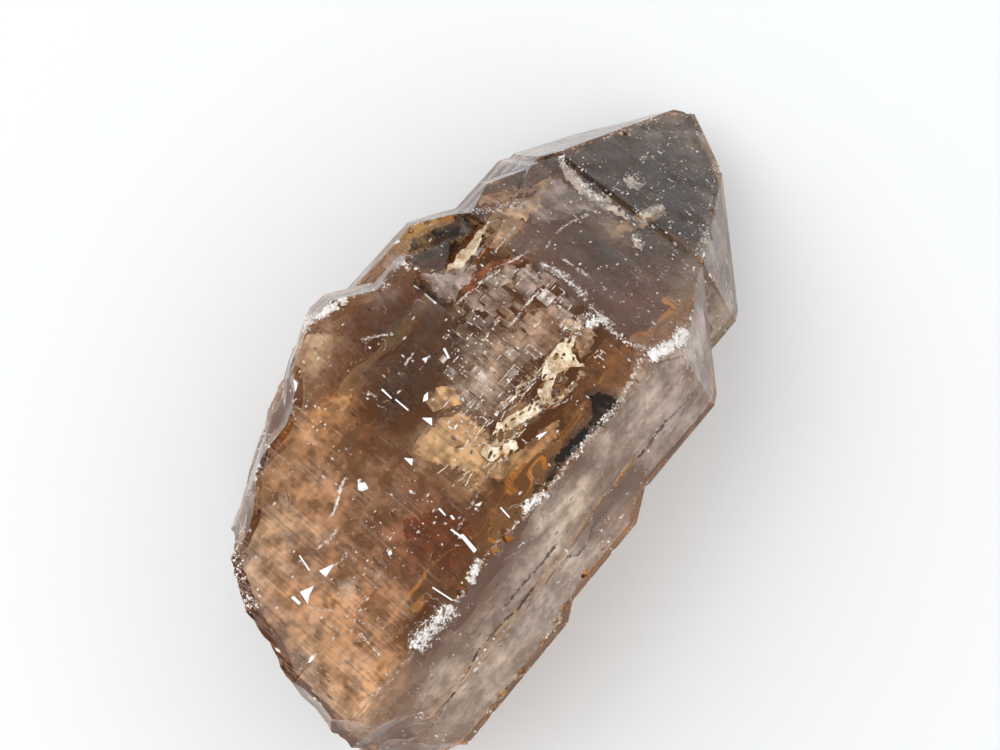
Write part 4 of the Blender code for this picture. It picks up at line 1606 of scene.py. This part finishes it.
def floor_material(settings):
    """Pale floor, very slightly uneven."""
    material, shader, out = new_material("pale floor")
    tree = material.node_tree
    shade = tuple(part * 0.985 for part in settings.floor_colour)
    paper = noise_value(tree, object_place(tree), 6.0, 2.0)
    tone = blended(tree, paper, (*shade, 1.0), (*settings.floor_colour, 1.0))
    tree.links.new(tone, shader.inputs["Base Color"])
    shader.inputs["Roughness"].default_value = 0.8
    shader.inputs["Specular IOR Level"].default_value = 0.1
    return material


def soft_room(settings):
    """A world that is dim overhead and bright around, and that the camera sees as a plain pale room."""
    world = bpy.data.worlds.new("soft room")
    world.use_nodes = True
    tree = world.node_tree
    around = node(tree, "ShaderNodeTexCoord").outputs["Generated"]
    way = node(tree, "ShaderNodeSeparateXYZ", {"Vector": around})
    height = ranged(tree, way.outputs["Z"], 0.0, 0.5, 0.0, 1.0)
    overhead = ranged(tree, way.outputs["Z"], 0.8, 0.92, 0.0, 1.0)
    past_point = ranged(tree, way.outputs["X"], 0.1, 0.8, 1.0, settings.far_side)
    sides = sums(tree, "MULTIPLY", mixed(tree, height, settings.horizon, settings.belt), past_point)
    light = mixed(tree, overhead, sides, settings.zenith)
    seen = node(tree, "ShaderNodeLightPath").outputs["Is Camera Ray"]
    background = tree.nodes["Background"]
    background.inputs["Color"].default_value = (0.98, 0.99, 1.0, 1.0)
    tree.links.new(mixed(tree, seen, light, settings.backdrop), background.inputs["Strength"])
    return world


class QUARTZ_OT_stage(bpy.types.Operator):
    """Set the pale floor, the soft lights and the photograph's camera"""

    bl_idname = "quartz.stage"
    bl_label = "Stage"

    def execute(self, context):
        settings = context.scene.quartz_stage
        scene = context.scene
        bm = bmesh.new()
        bmesh.ops.create_circle(bm, cap_ends=True, segments=96, radius=settings.floor_radius)
        bmesh.ops.translate(bm, vec=-UP * settings.gap, verts=bm.verts)
        floor = add_object("floor", mesh_of("floor", bm))
        floor.data.materials.append(floor_material(settings))
        scene.world = soft_room(settings)

        lamp = bpy.data.lights.new("large light", "AREA")
        lamp.shape = "DISK"
        lamp.size = LIGHT_SIZE
        lamp.energy = settings.key_power
        light = add_object("large light", lamp)
        light.matrix_world = Matrix.Translation(LIGHT_AT) @ facing(LIGHT_AT.normalized()).to_4x4()

        view = bpy.data.cameras.new("photo camera")
        view.lens = LENS
        view.sensor_width = SENSOR
        view.clip_start = 0.01
        view.clip_end = 20.0
        camera = add_object("photo camera", view)
        camera.matrix_world = camera_matrix()
        scene.camera = camera
        scene.view_settings.view_transform = "Standard"
        return {"FINISHED"}


class QUARTZ_PT_panel(bpy.types.Panel):
    """Lists the crystal's pieces and their values"""

    bl_idname = "QUARTZ_PT_panel"
    bl_label = "Rough Smoky Quartz"
    bl_space_type = "VIEW_3D"
    bl_region_type = "UI"
    bl_category = "Quartz"

    def draw(self, context):
        for group in SETTINGS:
            box = self.layout.box()
            box.label(text=group.removeprefix("quartz_").capitalize())
            settings = getattr(context.scene, group)
            for name in settings.bl_rna.properties.keys():
                if name not in ("rna_type", "name"):
                    box.prop(settings, name)
        for operator in OPERATORS:
            self.layout.operator(operator.bl_idname)


OPERATORS = (
    QUARTZ_OT_crystal,
    QUARTZ_OT_bruises,
    QUARTZ_OT_scratches,
    QUARTZ_OT_specks,
    QUARTZ_OT_clay,
    QUARTZ_OT_clouds_and_painted_light,
    QUARTZ_OT_stage,
)
SETTINGS = {
    "quartz_crystal": QuartzCrystalSettings,
    "quartz_marks": QuartzMarkSettings,
    "quartz_stage": QuartzStageSettings,
}


def register():
    for group in SETTINGS.values():
        bpy.utils.register_class(group)
    for operator in OPERATORS:
        bpy.utils.register_class(operator)
    bpy.utils.register_class(QUARTZ_PT_panel)
    for name, group in SETTINGS.items():
        setattr(bpy.types.Scene, name, PointerProperty(type=group))


def unregister():
    for name in SETTINGS:
        delattr(bpy.types.Scene, name)
    bpy.utils.unregister_class(QUARTZ_PT_panel)
    for operator in reversed(OPERATORS):
        bpy.utils.unregister_class(operator)
    for group in SETTINGS.values():
        bpy.utils.unregister_class(group)


def main():
    register()
    bpy.ops.quartz.crystal()
    bpy.ops.quartz.bruises()
    bpy.ops.quartz.scratches()
    bpy.ops.quartz.specks()
    bpy.ops.quartz.clay()
    bpy.ops.quartz.clouds()
    bpy.ops.quartz.stage()


if __name__ == "__main__":
    main()
